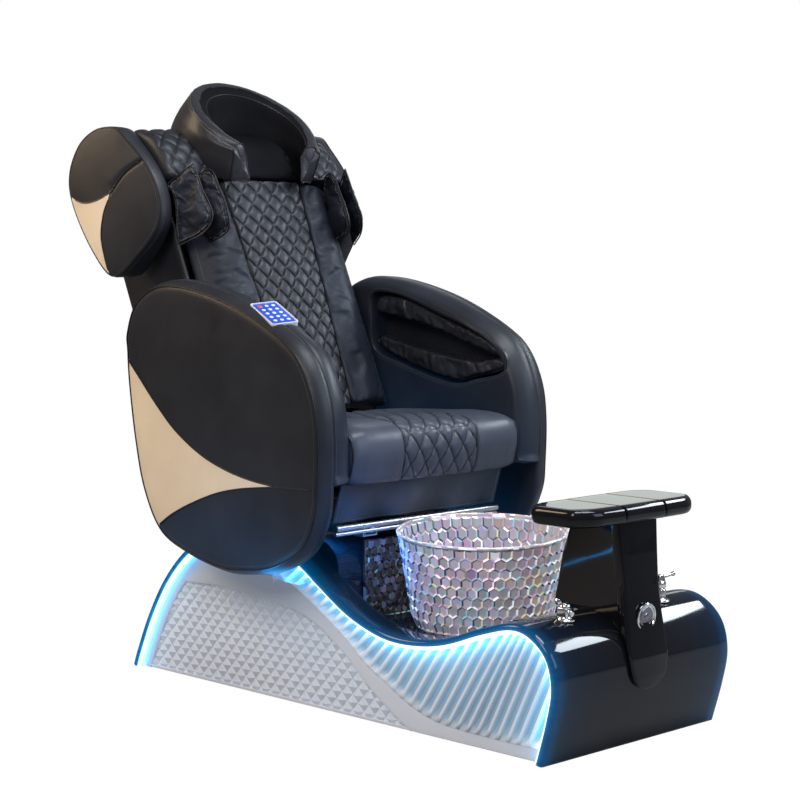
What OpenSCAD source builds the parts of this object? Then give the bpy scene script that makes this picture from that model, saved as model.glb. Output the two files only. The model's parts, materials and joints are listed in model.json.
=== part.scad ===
// Pedicure spa chair: massage seat on a moulded plinth with a glass foot bowl and a footrest.
// X runs across the chair, the sitter faces -Y, Z is up, and the floor is at Z = 0.
// Left and right are the sitter's own, so the left side is at +X.

/* [Plinth] */
// Width of the plinth over its side panels
base_width = 568; // [540:2:580]
// Thickness of the moulded shell
shell_wall = 5; // [4:0.5:7]
// Half of the width of the sunk deck round the bowl
deck_half = 215; // [205:1:225]
// Distance between neighbouring side ribs
rib_pitch = 21; // [18:0.5:28]
// Width of the lit lens that frames each side
lens_width = 10; // [8:0.5:12]

/* [Foot bowl] */
// Radius of the bowl at its rim
bowl_rim_r = 195; // [185:1:200]
// Radius of the bowl at its foot
bowl_foot_r = 140; // [130:1:150]
// Height of the bowl
bowl_height = 224; // [205:1:226]
// Distance of the bowl's centre in front of the origin
bowl_ahead = 237; // [230:1:245]
// Glass thickness
bowl_wall = 6; // [5:0.5:8]
// Number of facets round the bowl, a multiple of six
bowl_facets = 48; // [36:6:60]

/* [Footrest] */
// Length of the footrest pad across the chair
pad_length = 392; // [360:5:420]
// Depth of the footrest pad
pad_depth = 184; // [160:2:190]
// Height of the pad's top above the floor
pad_top = 508; // [495:1:520]

/* [Seat] */
// Width of the seat between the arms
seat_width = 544; // [540:1:546]
// Height of the seat cushion's top
seat_top = 645; // [635:1:650]
// Thickness of the seat cushion
seat_thick = 132; // [120:1:134]
// Width over the outer faces of the arms
arms_width = 750; // [746:1:760]
// Travel of the seat towards the bowl
seat_travel = 120; // [80:5:120]

/* [Back] */
// Lean of the back from upright, in degrees
back_lean = 23.6; // [23:0.1:24]
// Depth of the back from its padding to its rear cover
back_depth = 315; // [300:1:318]
// Half of the width of the back
back_half = 258; // [254:1:260]
// Half width over the rear edges of the shoulder wings
wing_half = 380; // [374:1:386]
// Half width of the collar of the head pillow
collar_r = 185; // [180:1:190]
// Radius of the massage rollers
roller_r = 30; // [26:1:32]

/* [Hidden] */
$fn = 48;

// Upholstery, mouldings and metals
leather = [0.10, 0.11, 0.13];
beige = [0.80, 0.73, 0.62];
gloss_black = [0.03, 0.03, 0.04];
panel_white = [0.93, 0.94, 0.95];
lens_blue = [0.55, 0.90, 1.00];
chrome = [0.80, 0.81, 0.83];
steel = [0.45, 0.46, 0.48];
glass = [0.85, 0.88, 0.95, 0.5];
plastic_grey = [0.30, 0.31, 0.33];

gap = 0.3;              // clear space between pieces of different bodies
tube_wall = 2.5;
run_fit = 0.05;         // radial clearance of a shaft that turns in a bore
base_half = base_width / 2;
seat_half = seat_width / 2;
arms_half = arms_width / 2;
seat_under = seat_top - seat_thick;

// ---------- curves ----------

function rev(p) = [for (i = [len(p) - 1 : -1 : 0]) p[i]];

function between(a, b, c, d, t) =
    0.5 * (2 * b + (c - a) * t + (2 * a - 5 * b + 4 * c - d) * t * t
        + (3 * b - a - 3 * c + d) * t * t * t);

// A smooth open curve through the points, with n steps between neighbours
function curve(p, n = 3) = let (e = len(p) - 1)
    concat([for (i = [0 : e - 1]) for (j = [0 : n - 1])
        between(p[max(i - 1, 0)], p[i], p[i + 1], p[min(i + 2, e)], j / n)], [p[e]]);

// A smooth closed curve through the points
function ring(p, n = 3) = let (m = len(p))
    [for (i = [0 : m - 1]) for (j = [0 : n - 1])
        between(p[(i + m - 1) % m], p[i], p[(i + 1) % m], p[(i + 2) % m], j / n)];

function across_dir(a, b) = let (t = (b - a) / norm(b - a)) [-t[1], t[0]];

// The open curve moved sideways by d, to the left of its run
function beside(c, d) = let (e = len(c) - 1)
    [for (i = [0 : e]) c[i] + d * across_dir(c[max(i - 1, 0)], c[min(i + 1, e)])];

// 1 for a closed curve that runs anticlockwise, -1 for one that runs clockwise
function turn_of(c) = let (m = len(c))
    sign(total([for (i = [0 : m - 1]) let (b = c[(i + 1) % m]) c[i][0] * b[1] - b[0] * c[i][1]]));

// The closed curve drawn in by d
function drawn_in(c, d) = let (m = len(c), s = turn_of(c))
    [for (i = [0 : m - 1]) c[i] + s * d * across_dir(c[(i + m - 1) % m], c[(i + 1) % m])];

// ---------- solids ----------

// A side profile, drawn as y and z, made solid from x0 to x1
module across(x0, x1)
    translate([x0, 0, 0]) rotate([90, 0, 90]) linear_extrude(x1 - x0) children();

module mirrored() mirror([1, 0, 0]) children();

module box(x0, x1, y0, y1, z0, z1)
    translate([x0, y0, z0]) cube([x1 - x0, y1 - y0, z1 - z0]);

// Square tube walls round the box, open at both ends along the axis 0 = x, 1 = y or 2 = z
module tube(axis, x0, x1, y0, y1, z0, z1) difference() {
    box(x0, x1, y0, y1, z0, z1);
    box(x0 + (axis == 0 ? -1 : tube_wall), x1 - (axis == 0 ? -1 : tube_wall),
        y0 + (axis == 1 ? -1 : tube_wall), y1 - (axis == 1 ? -1 : tube_wall),
        z0 + (axis == 2 ? -1 : tube_wall), z1 - (axis == 2 ? -1 : tube_wall));
}

// A rod along x from x0 to x1
module rod_x(x0, x1, y, z, r)
    translate([x0, y, z]) rotate([0, 90, 0]) cylinder(r = r, h = x1 - x0);

// Closed solid through a list of rings that all have the same number of points
module loft(rings) {
    n = len(rings[0]);
    m = len(rings);
    mid = floor(m / 2) - 1;
    along = mean(rings[mid + 1]) - mean(rings[mid]);
    pts = concat([for (r = rings) for (p = r) p],
        [mean(rings[0]), mean(rings[m - 1])]);
    sides = [for (k = [0 : m - 2]) for (i = [0 : n - 1]) for (half = [0, 1])
        let (a = k * n + i, b = k * n + (i + 1) % n)
        half == 0 ? [a, b + n, b] : [a, a + n, b + n]];
    caps = [for (i = [0 : n - 1]) for (last = [0, 1])
        let (a = last * (m - 1) * n + i, b = last * (m - 1) * n + (i + 1) % n)
        last == 0 ? [a, b, m * n] : [b, a, m * n + 1]];
    faces = concat(sides, caps);
    polyhedron(points = pts, convexity = 6,
        faces = facing(rings[mid]) * along > 0 ? faces : [for (f = faces) rev(f)]);
}

// Direction that a ring of points faces by the right-hand rule
function facing(r) = let (c = mean(r), m = len(r))
    [for (k = [0 : 2]) total([for (i = [0 : m - 1]) cross(r[i] - c, r[(i + 1) % m] - c)[k]])];

function mean(r) = [for (k = [0 : 2]) total([for (p = r) p[k]]) / len(r)];
function total(v) = v * [for (x = v) 1];

// Rings of a padded slab: side outline c, placed at each [x, drawn in by]
function slab_rings(c, stations) =
    [for (s = stations) [for (p = drawn_in(c, s[1])) [s[0], p[0], p[1]]]];

// Rings of a body whose side outline c is scaled about its middle, at each [x, scale]
function scaled_rings(c, stations) = let (m = [total([for (p = c) p[0]]),
        total([for (p = c) p[1]])] / len(c))
    [for (s = stations) [for (p = c) let (q = m + s[1] * (p - m)) [s[0], q[0], q[1]]]];

// ---------- plinth ----------

plinth_edge = curve([
    [-652, 3], [-678, 90], [-691, 160], [-677, 219], [-635, 257], [-582, 268], [-500, 247],
    [-400, 212], [-320, 197], [-240, 195], [-170, 208], [-90, 238], [0, 290], [75, 334],
    [160, 366], [260, 377], [350, 360], [430, 322], [490, 279], [550, 214], [605, 128],
    [648, 40], [663, 3]
]);
deck_top = 182;
wall_face = 14;          // y of the upright wall behind the bowl
deck_edge = curve([
    [-652, 3], [-678, 90], [-691, 160], [-677, 219], [-635, 257], [-582, 268], [-530, 256],
    [-492, 232], [-462, 194], [-415, 175], [-340, deck_top - 8], [-240, deck_top - 8],
    [-130, deck_top - 8], [-50, deck_top - 8], [5, 182], [wall_face + 8, 215],
    [wall_face + 8, 265], [wall_face + 8, 310], [40, 344], [90, 359], [160, 366], [260, 377],
    [350, 360], [430, 322], [490, 279], [550, 214], [605, 128], [648, 40], [663, 3]
]);
rim_stand = 8;           // height of the moulded rim above the lens
lens_inner_x = base_half - 16;
panel_x = base_half - 20;
diamond_top = curve([
    [720, 232], [489, 233], [413, 236], [339, 238], [195, 227], [58, 206], [-57, 148],
    [-153, 74], [-231, 26], [-275, 3]
]);
rib_foot = curve([
    [80, 262], [-9, 213], [-74, 173], [-137, 127], [-200, 95], [-261, 64], [-321, 44],
    [-380, 34], [-500, 30], [-720, 30]
]);
bowl_y = -bowl_ahead;
drain_r = 21;
tap_x = 155;
tap_y = -612;
tap_z = 273;
post_front_y = -676;
post_back_y = -536;
plate_z = pad_top - 38;
floor_gap = 3;

module band(c, outer, inner) polygon(concat(beside(c, outer), rev(beside(c, inner))));

module base_shell() color(gloss_black) difference() {
    union() {
        for (side = [-1, 1]) {
            x_in = side < 0 ? -base_half + 4 : deck_half;
            x_out = side < 0 ? -base_half : base_half - 4;
            across(x_in, x_in + base_half - 4 - deck_half)
                band(plinth_edge, rim_stand, rim_stand - shell_wall);
            across(x_out, x_out + 4) band(plinth_edge, rim_stand - 2, rim_stand - shell_wall);
            across(side < 0 ? -deck_half : deck_half - shell_wall,
                side < 0 ? -deck_half + shell_wall : deck_half) deck_wall();
        }
        across(-deck_half + shell_wall, deck_half - shell_wall)
            band(deck_edge, rim_stand, rim_stand - shell_wall);
    }
    translate([0, bowl_y, deck_top - 30]) cylinder(r = drain_r + 1, h = 60);
    for (side = [-1, 1])
        translate([side * tap_x, tap_y, 200]) cylinder(r = 8, h = 120);
}

// Everything under the sunk deck's top face, to trim what stands on the deck
module under_deck() across(-deck_half + 4, deck_half - 4)
    polygon(beside(deck_edge, rim_stand + 0.05));

// Upright wall between the rim and the sunk deck
module deck_wall() difference() {
    union() {
        polygon(beside(plinth_edge, rim_stand));
        polygon(beside(deck_edge, rim_stand));
    }
    intersection() {
        polygon(beside(plinth_edge, rim_stand - shell_wall));
        polygon(beside(deck_edge, rim_stand - shell_wall));
    }
}

module led_strip_right() color(lens_blue)
    across(-base_half + 2, -lens_inner_x) band(plinth_edge, rim_stand - shell_wall - 0.2,
        rim_stand - shell_wall - lens_width);
module led_strip_left() mirrored() led_strip_right();

panel_in = rim_stand - shell_wall - lens_width - 0.4;

module diamond_field(shrink = 0) intersection() {
    polygon(beside(plinth_edge, panel_in - 22 - shrink));
    polygon(concat(beside(diamond_top, shrink), [[-275, floor_gap], [720, floor_gap]]));
}

// Smooth white moulding with a fan of ribs that lean forwards
module side_panel_right() color(panel_white) union() {
    across(-panel_x, -panel_x + 8) difference() {
        polygon(beside(plinth_edge, panel_in));
        diamond_field();
    }
    rib_layer(-panel_x - 4, 0.62);
    rib_layer(-panel_x - 7, 0.34);
}
module side_panel_left() mirrored() side_panel_right();

rib_count = floor(745 / rib_pitch);
rib_mid = [[-690, 100], [-560, 150], [-440, 125], [-320, 122], [-200, 150], [-100, 190],
    [0, 255], [90, 305]];
rib_leans = [[-660, 25], [-560, 26], [-480, 33], [-280, 36], [-130, 48], [-50, 52], [90, 54]];
module rib_layer(x0, share) across(x0, -panel_x + 1) intersection() {
    polygon(beside(plinth_edge, panel_in - 3));
    polygon(concat(rib_foot, [[-720, 420], [80, 420]]));
    union() for (i = [0 : rib_count]) {
        y = -668 + i * rib_pitch;
        rib_lean = lookup(y, rib_leans);
        translate([y, lookup(y, rib_mid)]) rotate(rib_lean)
            square([rib_pitch * share * cos(rib_lean), 700], center = true);
    }
}

// Sunk field inside the moulding
module diamond_panel_right() color(panel_white)
    across(-panel_x + 1, -panel_x + 8) diamond_field(0.4);
module diamond_panel_left() mirrored() diamond_panel_right();

// Welded chassis: floor plate, two long tubes, cross tubes and pillars for the seat rails
rail_x = 150;
rail_z = 385.5;
rail_h = 23;
pillar_y = [130, 330];
foot_y = [-560, 545];
module base_frame() color(steel) difference() {
    union() {
        box(-150, 150, -110, 110, 0, 6);
        for (side = [-1, 1]) {
            tube(1, side * 190 - 15, side * 190 + 15, -590, 560, 8, 38);
            for (y = foot_y) box(side * 190 - 14, side * 190 + 14, y - 14, y + 14, 8, 36);
            for (y = pillar_y) {
                across(side * rail_x - 12, side * rail_x + 12) intersection() {
                    translate([y - 4, 30]) square([8, 400]);
                    polygon(beside(deck_edge, rim_stand - shell_wall - 0.05));
                }
                across(side * rail_x - 3, side * rail_x + 3) intersection() {
                    translate([y - 20, 30]) square([40, 400]);
                    polygon(beside(deck_edge, rim_stand - shell_wall - 0.05));
                }
            }
        }
        for (y = [-575, -110, 80, 310, 530]) tube(0, -panel_x + 8.5, panel_x - 8.5, y, y + 30, 6, 36);
        box(-190, 190, -236, -111, 32, 36);
        box(-190, 190, 140, 290, 32, 36);
        box(-40, 40, -640, -575, 6, 10);
        tube(2, -30, 30, -640, -610, 6, 235);
    }
    for (side = [-1, 1]) for (y = foot_y) translate([side * 190, y, -1]) cylinder(r = 5, h = 60);
}

module levelling_feet() color(plastic_grey)
    for (side = [-1, 1]) for (y = foot_y) translate([side * 190, y, 0]) {
        cylinder(r1 = 19, r2 = 16, h = 5.5);
        cylinder(r = 4.8, h = 34);
    }

// ---------- bowl ----------

// Outer radius of the bowl at height h above its foot
function bowl_r(h) = let (s = h / bowl_height)
    bowl_foot_r + (bowl_rim_r - bowl_foot_r) * (0.30 * sqrt(min(1, s * 6)) + 0.70 * s);

bowl_rows = 8;
facet_relief = 3.5;
bowl_floor = 8;
// A ring of the bowl with every third point of the faceted rows standing out
function bowl_ring(r, h, row, relief) = [for (j = [0 : bowl_facets - 1])
    let (third = (j - floor(row / 2) - row + 60) % 3,
        turn = (j + (row % 2) / 2) * 360 / bowl_facets,
        q = r + (third == 0 ? relief : 0))
    [q * cos(turn), q * sin(turn), h]];

// The wall goes up outside, over the rim and down inside to the floor
module bowl() color(glass) translate([0, bowl_y, deck_top + 0.2]) difference() {
    loft(concat(
        [for (k = [0 : bowl_rows]) let (h = 0.94 * bowl_height * k / bowl_rows)
            bowl_ring(bowl_r(h) + 1, h, k, k == 0 || k == bowl_rows ? 0 : facet_relief)],
        [bowl_ring(bowl_rim_r + 1, bowl_height, bowl_rows, 0)],
        [for (s = [1, 0.7, 0.4, 0.15]) bowl_ring(bowl_r(s * bowl_height) - bowl_wall,
            s * bowl_height, bowl_rows, 0)],
        [bowl_ring(bowl_foot_r - 14, bowl_floor, bowl_rows, 0)]));
    translate([0, 0, -1]) cylinder(r = drain_r + 0.5, h = 30);
}

module bowl_drain() color(chrome) translate([0, bowl_y, deck_top]) difference() {
    union() {
        translate([0, 0, 8.4]) cylinder(r = 34, h = 3);
        translate([0, 0, -40]) cylinder(r = drain_r, h = 50);
    }
    translate([0, 0, -41]) cylinder(r = 14, h = 60);
}

module drain_stopper() color(chrome) translate([0, bowl_y, deck_top]) {
    translate([0, 0, 11.4 + gap]) cylinder(r1 = 24, r2 = 20, h = 5);
    translate([0, 0, -18]) cylinder(r = 14 - run_fit, h = 29.8);
}

// Faceted crystal screen in front of the upright wall
module crystal_panel() color([0.25, 0.32, 0.40]) difference() {
    union() {
        box(-135, 135, 0, 8, deck_top + 4, 370);
        for (side = [-1, 1]) for (z = [230, 300])
            translate([side * 100, 8, z]) rotate([-90, 0, 0]) cylinder(r = 6, h = wall_face - 8);
    }
    under_deck();
}

// ---------- footrest ----------

post_side = concat(
    curve([[post_front_y, plate_z], [-682, 400], [-690, 330], [-699, 262]]),
    curve([[-712, 190], [-714, 150], [-709, 126]]),
    [[-701, 126]],
    curve([[-700, 150], [-699.5, 165], [-697, 195], [-680, 230], [-643, 256], [-600, 262]]),
    curve([[-474, 236], [-482, 262], [-486, 285], [-495, 330], [-508, 390],
        [post_back_y, plate_z]])
);
post_front = [[-67, 480], [67, 480], [63, 400], [58, 330], [62, 260], [63, 200], [56, 160],
    [38, 133], [0, 122], [-38, 133], [-56, 160], [-63, 200], [-62, 260], [-58, 330], [-63, 400]];

module footrest_post() color(gloss_black) difference() {
    union() {
        intersection() {
            across(-52, 52) polygon(post_side);
            box(-60, 60, -696, -474, 200, 600);
        }
        intersection() {
            across(-70, 70) polygon(post_side);
            translate([0, -660, 0]) rotate([90, 0, 0]) linear_extrude(70)
                polygon(ring(post_front, 2));
        }
    }
    box(-44, 44, -664, -545, 200, plate_z - 8);
    under_deck();
    at_badge() translate([0, 0, -1]) cylinder(r = 30.3, h = 20);
}

badge_z = 271;
module at_badge() translate([0, -697.5, badge_z]) rotate([94, 0, 0]) children();
module post_badge() color(chrome) at_badge() {
    difference() {
        cylinder(r = 30, h = 5);
        translate([0, 0, 2.5]) cylinder(r = 26, h = 5);
    }
    cylinder(r = 22, h = 4);
}

pad_high = pad_top - plate_z;
module pad_plan(d) {
    r = pad_depth / 2 - 14;
    offset(r = d) for (side = [0]) hull() for (s = [-1, 1]) {
        translate([s * (pad_length / 2 - r - 14), 14]) circle(r = r);
        translate([s * (pad_length / 2 - r - 14), -14]) circle(r = r);
    }
}

// Glossy pad with rounded edges and two cross grooves
module footrest_pad() color(gloss_black) translate([0, -608, plate_z]) difference() {
    union() {
        linear_extrude(pad_high - 8) pad_plan(14);
        linear_extrude(pad_high - 3) pad_plan(11);
        linear_extrude(pad_high) pad_plan(6);
    }
    for (side = [-1, 1]) for (w = [[7, 14], [3, 24]])
        box(side * pad_length / 6 - w[0] / 2, side * pad_length / 6 + w[0] / 2, -120, 120,
            pad_high - w[1], 60);
}

// ---------- taps ----------

// Round flange shaped to the shell under it, with the threaded tail through the shell
module tap_base(side) {
    difference() {
        translate([0, 0, -12]) cylinder(r = 24, h = 17.5);
        translate([-side * tap_x, -tap_y, -tap_z]) under_deck();
    }
    translate([0, 0, -30]) cylinder(r = 7.8, h = 34);
}

module at_tap(side) translate([side * tap_x, tap_y, tap_z]) children();

module mixer_body() color(chrome) at_tap(1) {
    tap_base(1);
    translate([0, 0, 4]) cylinder(r = 15, h = 26);
    translate([0, 0, 4]) cylinder(r = 9, h = 36);
}

module mixer_cap() color(chrome) at_tap(1) difference() {
    union() {
        translate([0, 0, 30 + gap]) cylinder(r = 15, h = 15);
        for (side = [-1, 1]) translate([0, side * 8, 40]) rotate([90, 0, 0])
            translate([0, 0, -3]) linear_extrude(6)
                polygon([[-13, 0], [13, 0], [9, 17], [-9, 17]]);
    }
    translate([0, 0, 20]) cylinder(r = 9 + run_fit, h = 20.5);
    translate([0, 20, 51]) rotate([90, 0, 0]) cylinder(r = 2.5, h = 40);
}

module mixer_lever() color(chrome) at_tap(1) {
    translate([0, 15, 51]) rotate([90, 0, 0]) cylinder(r = 2.5 - run_fit, h = 30);
    translate([0, 4.5, 51]) rotate([90, 0, 0]) cylinder(r = 5, h = 9);
    translate([0, 0, 51]) rotate([0, 86, 0]) cylinder(r = 4, h = 46);
    translate([0, 0, 51]) rotate([0, 86, 0]) translate([0, 0, 46]) cylinder(r = 5, h = 6);
}

module spray_socket() color(chrome) at_tap(-1) difference() {
    union() {
        tap_base(-1);
        translate([-13, -13, 4]) cube([26, 26, 24]);
        translate([0, -12, 16]) rotate([90, 0, 0]) cylinder(r = 7, h = 9);
    }
    translate([0, 0, 6]) cylinder(r = 10, h = 30);
}

// Pull-out spray with a small nozzle on a neck
module hand_spray() color(chrome) at_tap(-1) {
    translate([0, 0, 6 + gap]) cylinder(r = 10 - run_fit, h = 25);
    translate([0, 0, 28 + gap]) cylinder(r1 = 13, r2 = 9, h = 8);
    translate([0, 0, 34]) rotate([0, -70, 0]) {
        cylinder(r = 5, h = 22);
        translate([0, 0, 20]) cylinder(r1 = 7, r2 = 5.5, h = 10);
    }
}

// ---------- inside the plinth ----------

// Pump on the chassis, joined to the drain by an upright pipe
module drain_pump() color(plastic_grey) translate([0, bowl_y + 60, 36]) {
    translate([-55, 0, 36]) rotate([0, 90, 0]) cylinder(r = 32, h = 90);
    translate([35, 0, 36]) rotate([0, 90, 0]) cylinder(r = 24, h = 30);
    translate([0, -60, 20]) cylinder(r = 12, h = deck_top - 36 - 40 - 20);
    translate([0, -60, 32]) rotate([-90, 0, 0]) cylinder(r = 10, h = 60);
    box(-60, 66, -34, 40, 0, 8);
}

module control_box() color(plastic_grey) difference() {
    box(-110, 110, 145, 285, 36, 116);
    box(-106, 106, 149, 281, 40, 112);
    box(-90, 90, 280, 290, 50, 100);
}

module slide_rails() color(steel) for (side = [-1, 1]) difference() {
    union() {
        box(side * rail_x - 22, side * rail_x + 22, -30, 400, rail_z, rail_z + rail_h);
        for (y = pillar_y) across(side * rail_x - 22, side * rail_x + 22) difference() {
            translate([y - 20, 330]) square([40, rail_z + 1 - 330]);
            polygon(beside(deck_edge, rim_stand + 0.05));
        }
    }
    box(side * rail_x - 19, side * rail_x + 19, -40, 410, rail_z + 3, rail_z + rail_h - 3);
}

// Two bright tubes that tie the rails together under the seat's front edge
module cross_bars() color(chrome) {
    rod_x(-262, 262, -35, 399, 5);
    rod_x(-262, 262, -37, 412.4, 7);
    for (side = [-1, 1]) box(side * rail_x - 8, side * rail_x + 8, -38, -30, 394, 410);
}

// ---------- seat ----------

frame_z = 425;
pivot = back_point(95, -15);
function back_point(v, u) = [
    277 + v * cos(back_lean) + u * sin(back_lean),
    650 - v * sin(back_lean) + u * cos(back_lean)
];

module seat_frame() color(steel) difference() {
    union() {
        for (side = [-1, 1]) {
            for (y = [60, 300]) box(side * rail_x - 18, side * rail_x + 18, y, y + 36,
                rail_z + rail_h + gap, frame_z + 2);
            tube(1, side * 225 - 18, side * 225 + 18, 30, 410, frame_z, frame_z + 40);
            box(side * 239 - 4, side * 239 + 4, pivot[0] - 25, pivot[0] + 25, frame_z + 30,
                pivot[1] + 22);
            for (y = [34, 236]) tube(2, side * 220 - 10, side * 220 + 10, y, y + 20,
                frame_z + 38, seat_under - 3);
        }
        for (y = [60, 330]) tube(0, -arms_half + 46, arms_half - 46, y, y + 36, frame_z,
            frame_z + 36);
        box(-232, 232, 20, 270, seat_under - 4, seat_under);
    }
    rod_x(-300, 300, pivot[0], pivot[1], 8);
}

// Slide motor behind the front tube and recline motor before the rear tube
module seat_motors() color(plastic_grey) {
    rod_x(-60, 21, 114, frame_z + 18, 14);
    box(20, 55, 96, 132, frame_z, frame_z + 36);
    translate([0, 210, frame_z + 14]) rotate([-90, 0, 0]) cylinder(r = 20, h = 81);
    box(-25, 25, 290, 330, frame_z - 8, frame_z + 60);
}

module recline_pins() color(chrome) for (side = [-1, 1])
    rod_x(side > 0 ? 220 : -248, side > 0 ? 248 : -220, pivot[0], pivot[1], 8);

// Side profile of the seat cushion, rolled over at the front
seat_loop = ring([
    [-92, seat_under + 4], [-103, seat_under + 30], [-110, seat_under + 70],
    [-98, seat_top - 22], [-64, seat_top - 4], [0, seat_top], [80, seat_top - 3],
    [160, seat_top - 6], [230, seat_top - 10], [288, seat_top - 20], [300, seat_top - 60],
    [296, seat_under + 8], [230, seat_under], [120, seat_under], [10, seat_under],
    [-60, seat_under]
], 2);
quilt_half = 118;

// Sewn diamonds: 0 on a seam, 1 in the middle of a diamond
function diamond(a, b) = let (p = a + b, q = a - b)
    min(abs(p - round(p)), abs(q - round(q))) * 2;

seat_x = [0, 15, 30, 45, 60, 75, 90, 105];
seat_stations = concat(
    [[-seat_half + gap, 34], [-seat_half + 3, 14], [-seat_half + 12, 4], [-seat_half + 40, -2],
        [-seat_half + 90, -3], [-quilt_half - 8, -1], [-quilt_half, 6]],
    [for (i = [len(seat_x) - 1 : -1 : 1]) [-seat_x[i], -1]],
    [for (x = seat_x) [x, -1]],
    [[quilt_half, 6], [quilt_half + 8, -1], [seat_half - 90, -3], [seat_half - 40, -2],
        [seat_half - 12, 4], [seat_half - 3, 14], [seat_half - gap, 34]]
);

module seat_cushion() color(leather) loft([for (s = seat_stations)
    [for (i = [0 : len(seat_loop) - 1])
        let (quilted = abs(s[0]) < quilt_half && i > 1 && i < 19,
            flat_under = seat_loop[i][1] < seat_under + 2 && seat_loop[i][0] > -60,
            sink = quilted ? 4 * (1 - diamond(s[0] / 60, i / 4)) : 0,
            p = drawn_in(seat_loop, s[1] + sink)[i])
        [s[0], p[0], flat_under ? seat_under : max(p[1], seat_under)]]]);

// Leather curtain under the seat's front edge, with shallow folds
function flap_point(x, t, side) = [
    x,
    -58 + 30 * t + 3 * t * sin(x * 2.1) + side * 2,
    (seat_under - 1) * (1 - t) + 423 * t
];
module seat_flap() color(leather) loft([for (i = [0 : 16]) let (x = -262 + 524 * i / 16)
    concat([for (t = [0 : 0.25 : 1]) flap_point(x, t, -1)],
        [for (t = [1 : -0.25 : 0]) flap_point(x, t, 1)])]);

// ---------- arms ----------

arm_loop = ring([
    [572, 790], [573, 830], [542, 897], [476, 938], [400, 948], [291, 935], [151, 897],
    [18, 838], [-47, 788], [-88, 709], [-101, 624], [-99, 522], [-90, 450], [-45, 375],
    [55, 324], [157, 307], [228, 304], [336, 323], [447, 367], [511, 461], [544, 577],
    [566, 710]
], 2);
arm_upper = ring([
    [572, 790], [573, 830], [542, 897], [476, 938], [400, 948], [291, 935], [151, 897],
    [18, 838], [-47, 788], [-88, 709], [-101, 624], [-100, 545], [-92, 522], [40, 522],
    [200, 522], [360, 522], [505, 522], [530, 550], [552, 640], [566, 710]
], 2);
slot_shape = ring([
    [405, 850], [396, 915], [300, 912], [160, 868], [30, 826], [-38, 792], [-58, 760],
    [-40, 734], [40, 716], [130, 702], [300, 742], [392, 775]
], 2);
slot_deep = 72;
insert_shape = concat(
    curve([[596, 812], [567, 773], [518, 726], [461, 672], [387, 612], [296, 563], [207, 534],
        [121, 518], [43, 511]]),
    curve([[50, 508], [156, 495], [243, 476], [334, 444], [401, 414], [447, 386], [466, 370],
        [480, 345]]),
    [[620, 345]]
);
arm_face = 8;            // depth of the outer leather that the insert takes the place of
arm_step = 520;          // height of the step under the inner half of the arm
crown = [[0, 30], [1.5, 10], [6, 2.5], [15, -4], [30, -9]];

module arm_body() {
    loft(slab_rings(arm_loop, concat([for (c = crown) [c[0] - arms_half, c[1]]],
        [[-arms_half + 41, -9], [-arms_half + 46, -2]])));
    loft([for (s = [[-arms_half + 38, -5], [-320, -11], [-301, -7], [-288, 0], [-279, 6],
        [-seat_half, 16]])
        [for (p = drawn_in(arm_upper, s[1])) [s[0], p[0], max(p[1], arm_step)]]]);
}

module insert_prism(shrink)
    across(-arms_half - 20, -arms_half + arm_face) offset(delta = -shrink)
        polygon(insert_shape);

module arm() difference() {
    arm_body();
    across(-seat_half - slot_deep, -seat_half + 20) polygon(slot_shape);
    insert_prism(0);
}
module arm_left() color(leather) mirrored() arm();
module arm_right() color(leather) difference() {
    arm();
    at_keypad() translate([0, 0, -6]) rounded(62.2, 124.2, 60, 6);
}

module arm_insert_right() color(beige) intersection() {
    loft(slab_rings(arm_loop, [for (c = crown) [c[0] - arms_half, c[1]]]));
    insert_prism(0.3);
}
module arm_insert_left() mirrored() arm_insert_right();

// Two flat air cushions line the top and the bottom of each forearm slot
upper_pad = ring([[397, 872], [390, 906], [300, 905], [160, 861], [32, 819], [-24, 790],
    [-18, 777], [40, 790], [180, 832], [320, 860]], 2);
lower_pad = ring([[388, 790], [300, 751], [130, 711], [40, 724], [-34, 742], [-46, 756],
    [-20, 764], [60, 756], [200, 774], [330, 798], [384, 808]], 2);
pad_stations = [[0, 0.93], [8, 0.985], [34, 1], [56, 0.98], [66, 0.90]];
module arm_airbags_right() color(leather) for (c = [upper_pad, lower_pad])
    loft(scaled_rings(c, [for (s = pad_stations) [s[0] - seat_half - slot_deep, s[1]]]));
module arm_airbags_left() mirrored() arm_airbags_right();

// Handset let into the top band of the right arm
keypad_tilt = 20.5;
module at_keypad() translate([-322, 98, 879]) rotate([keypad_tilt, 0, 0]) children();

module rounded(w, l, h, r) linear_extrude(h) offset(r = r)
    square([w - 2 * r, l - 2 * r], center = true);

module keypad_case() color([0.92, 0.93, 0.95]) at_keypad() difference() {
    translate([0, 0, -6]) rounded(62, 124, 12, 6);
    translate([0, 0, -1]) rounded(54.6, 116.6, 20, 4);
    translate([-15, 42, -3]) cylinder(r = 6.2, h = 20);
}

key_lift = 1.2;
module key_mat() color([0.10, 0.25, 0.80]) at_keypad() difference() {
    union() {
        translate([0, 0, key_lift - 1]) rounded(54, 116, 4, 4);
        for (i = [0 : 4]) for (j = [-1 : 1]) if (i < 4 || j >= 0)
            translate([15 * j, -34 + 19 * i, key_lift]) cylinder(r = 5, h = 4.4);
    }
    translate([-15, 42, -3]) cylinder(r = 6.2, h = 20);
}

module power_key() color([0.85, 0.15, 0.12]) at_keypad()
    translate([-15, 42, key_lift - 2.6]) cylinder(r = 6, h = 7);

// ---------- back ----------

// Places a piece drawn upright with its front face at y = 0 and its foot at z = 0
module on_back() translate([0, 277, 650]) rotate([-back_lean, 0, 0]) children();

pad_height = 592;
pad_thick = 50;
function quilt_edge(u) = 90 + 37 * u / 585;
back_rows = 28;

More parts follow.
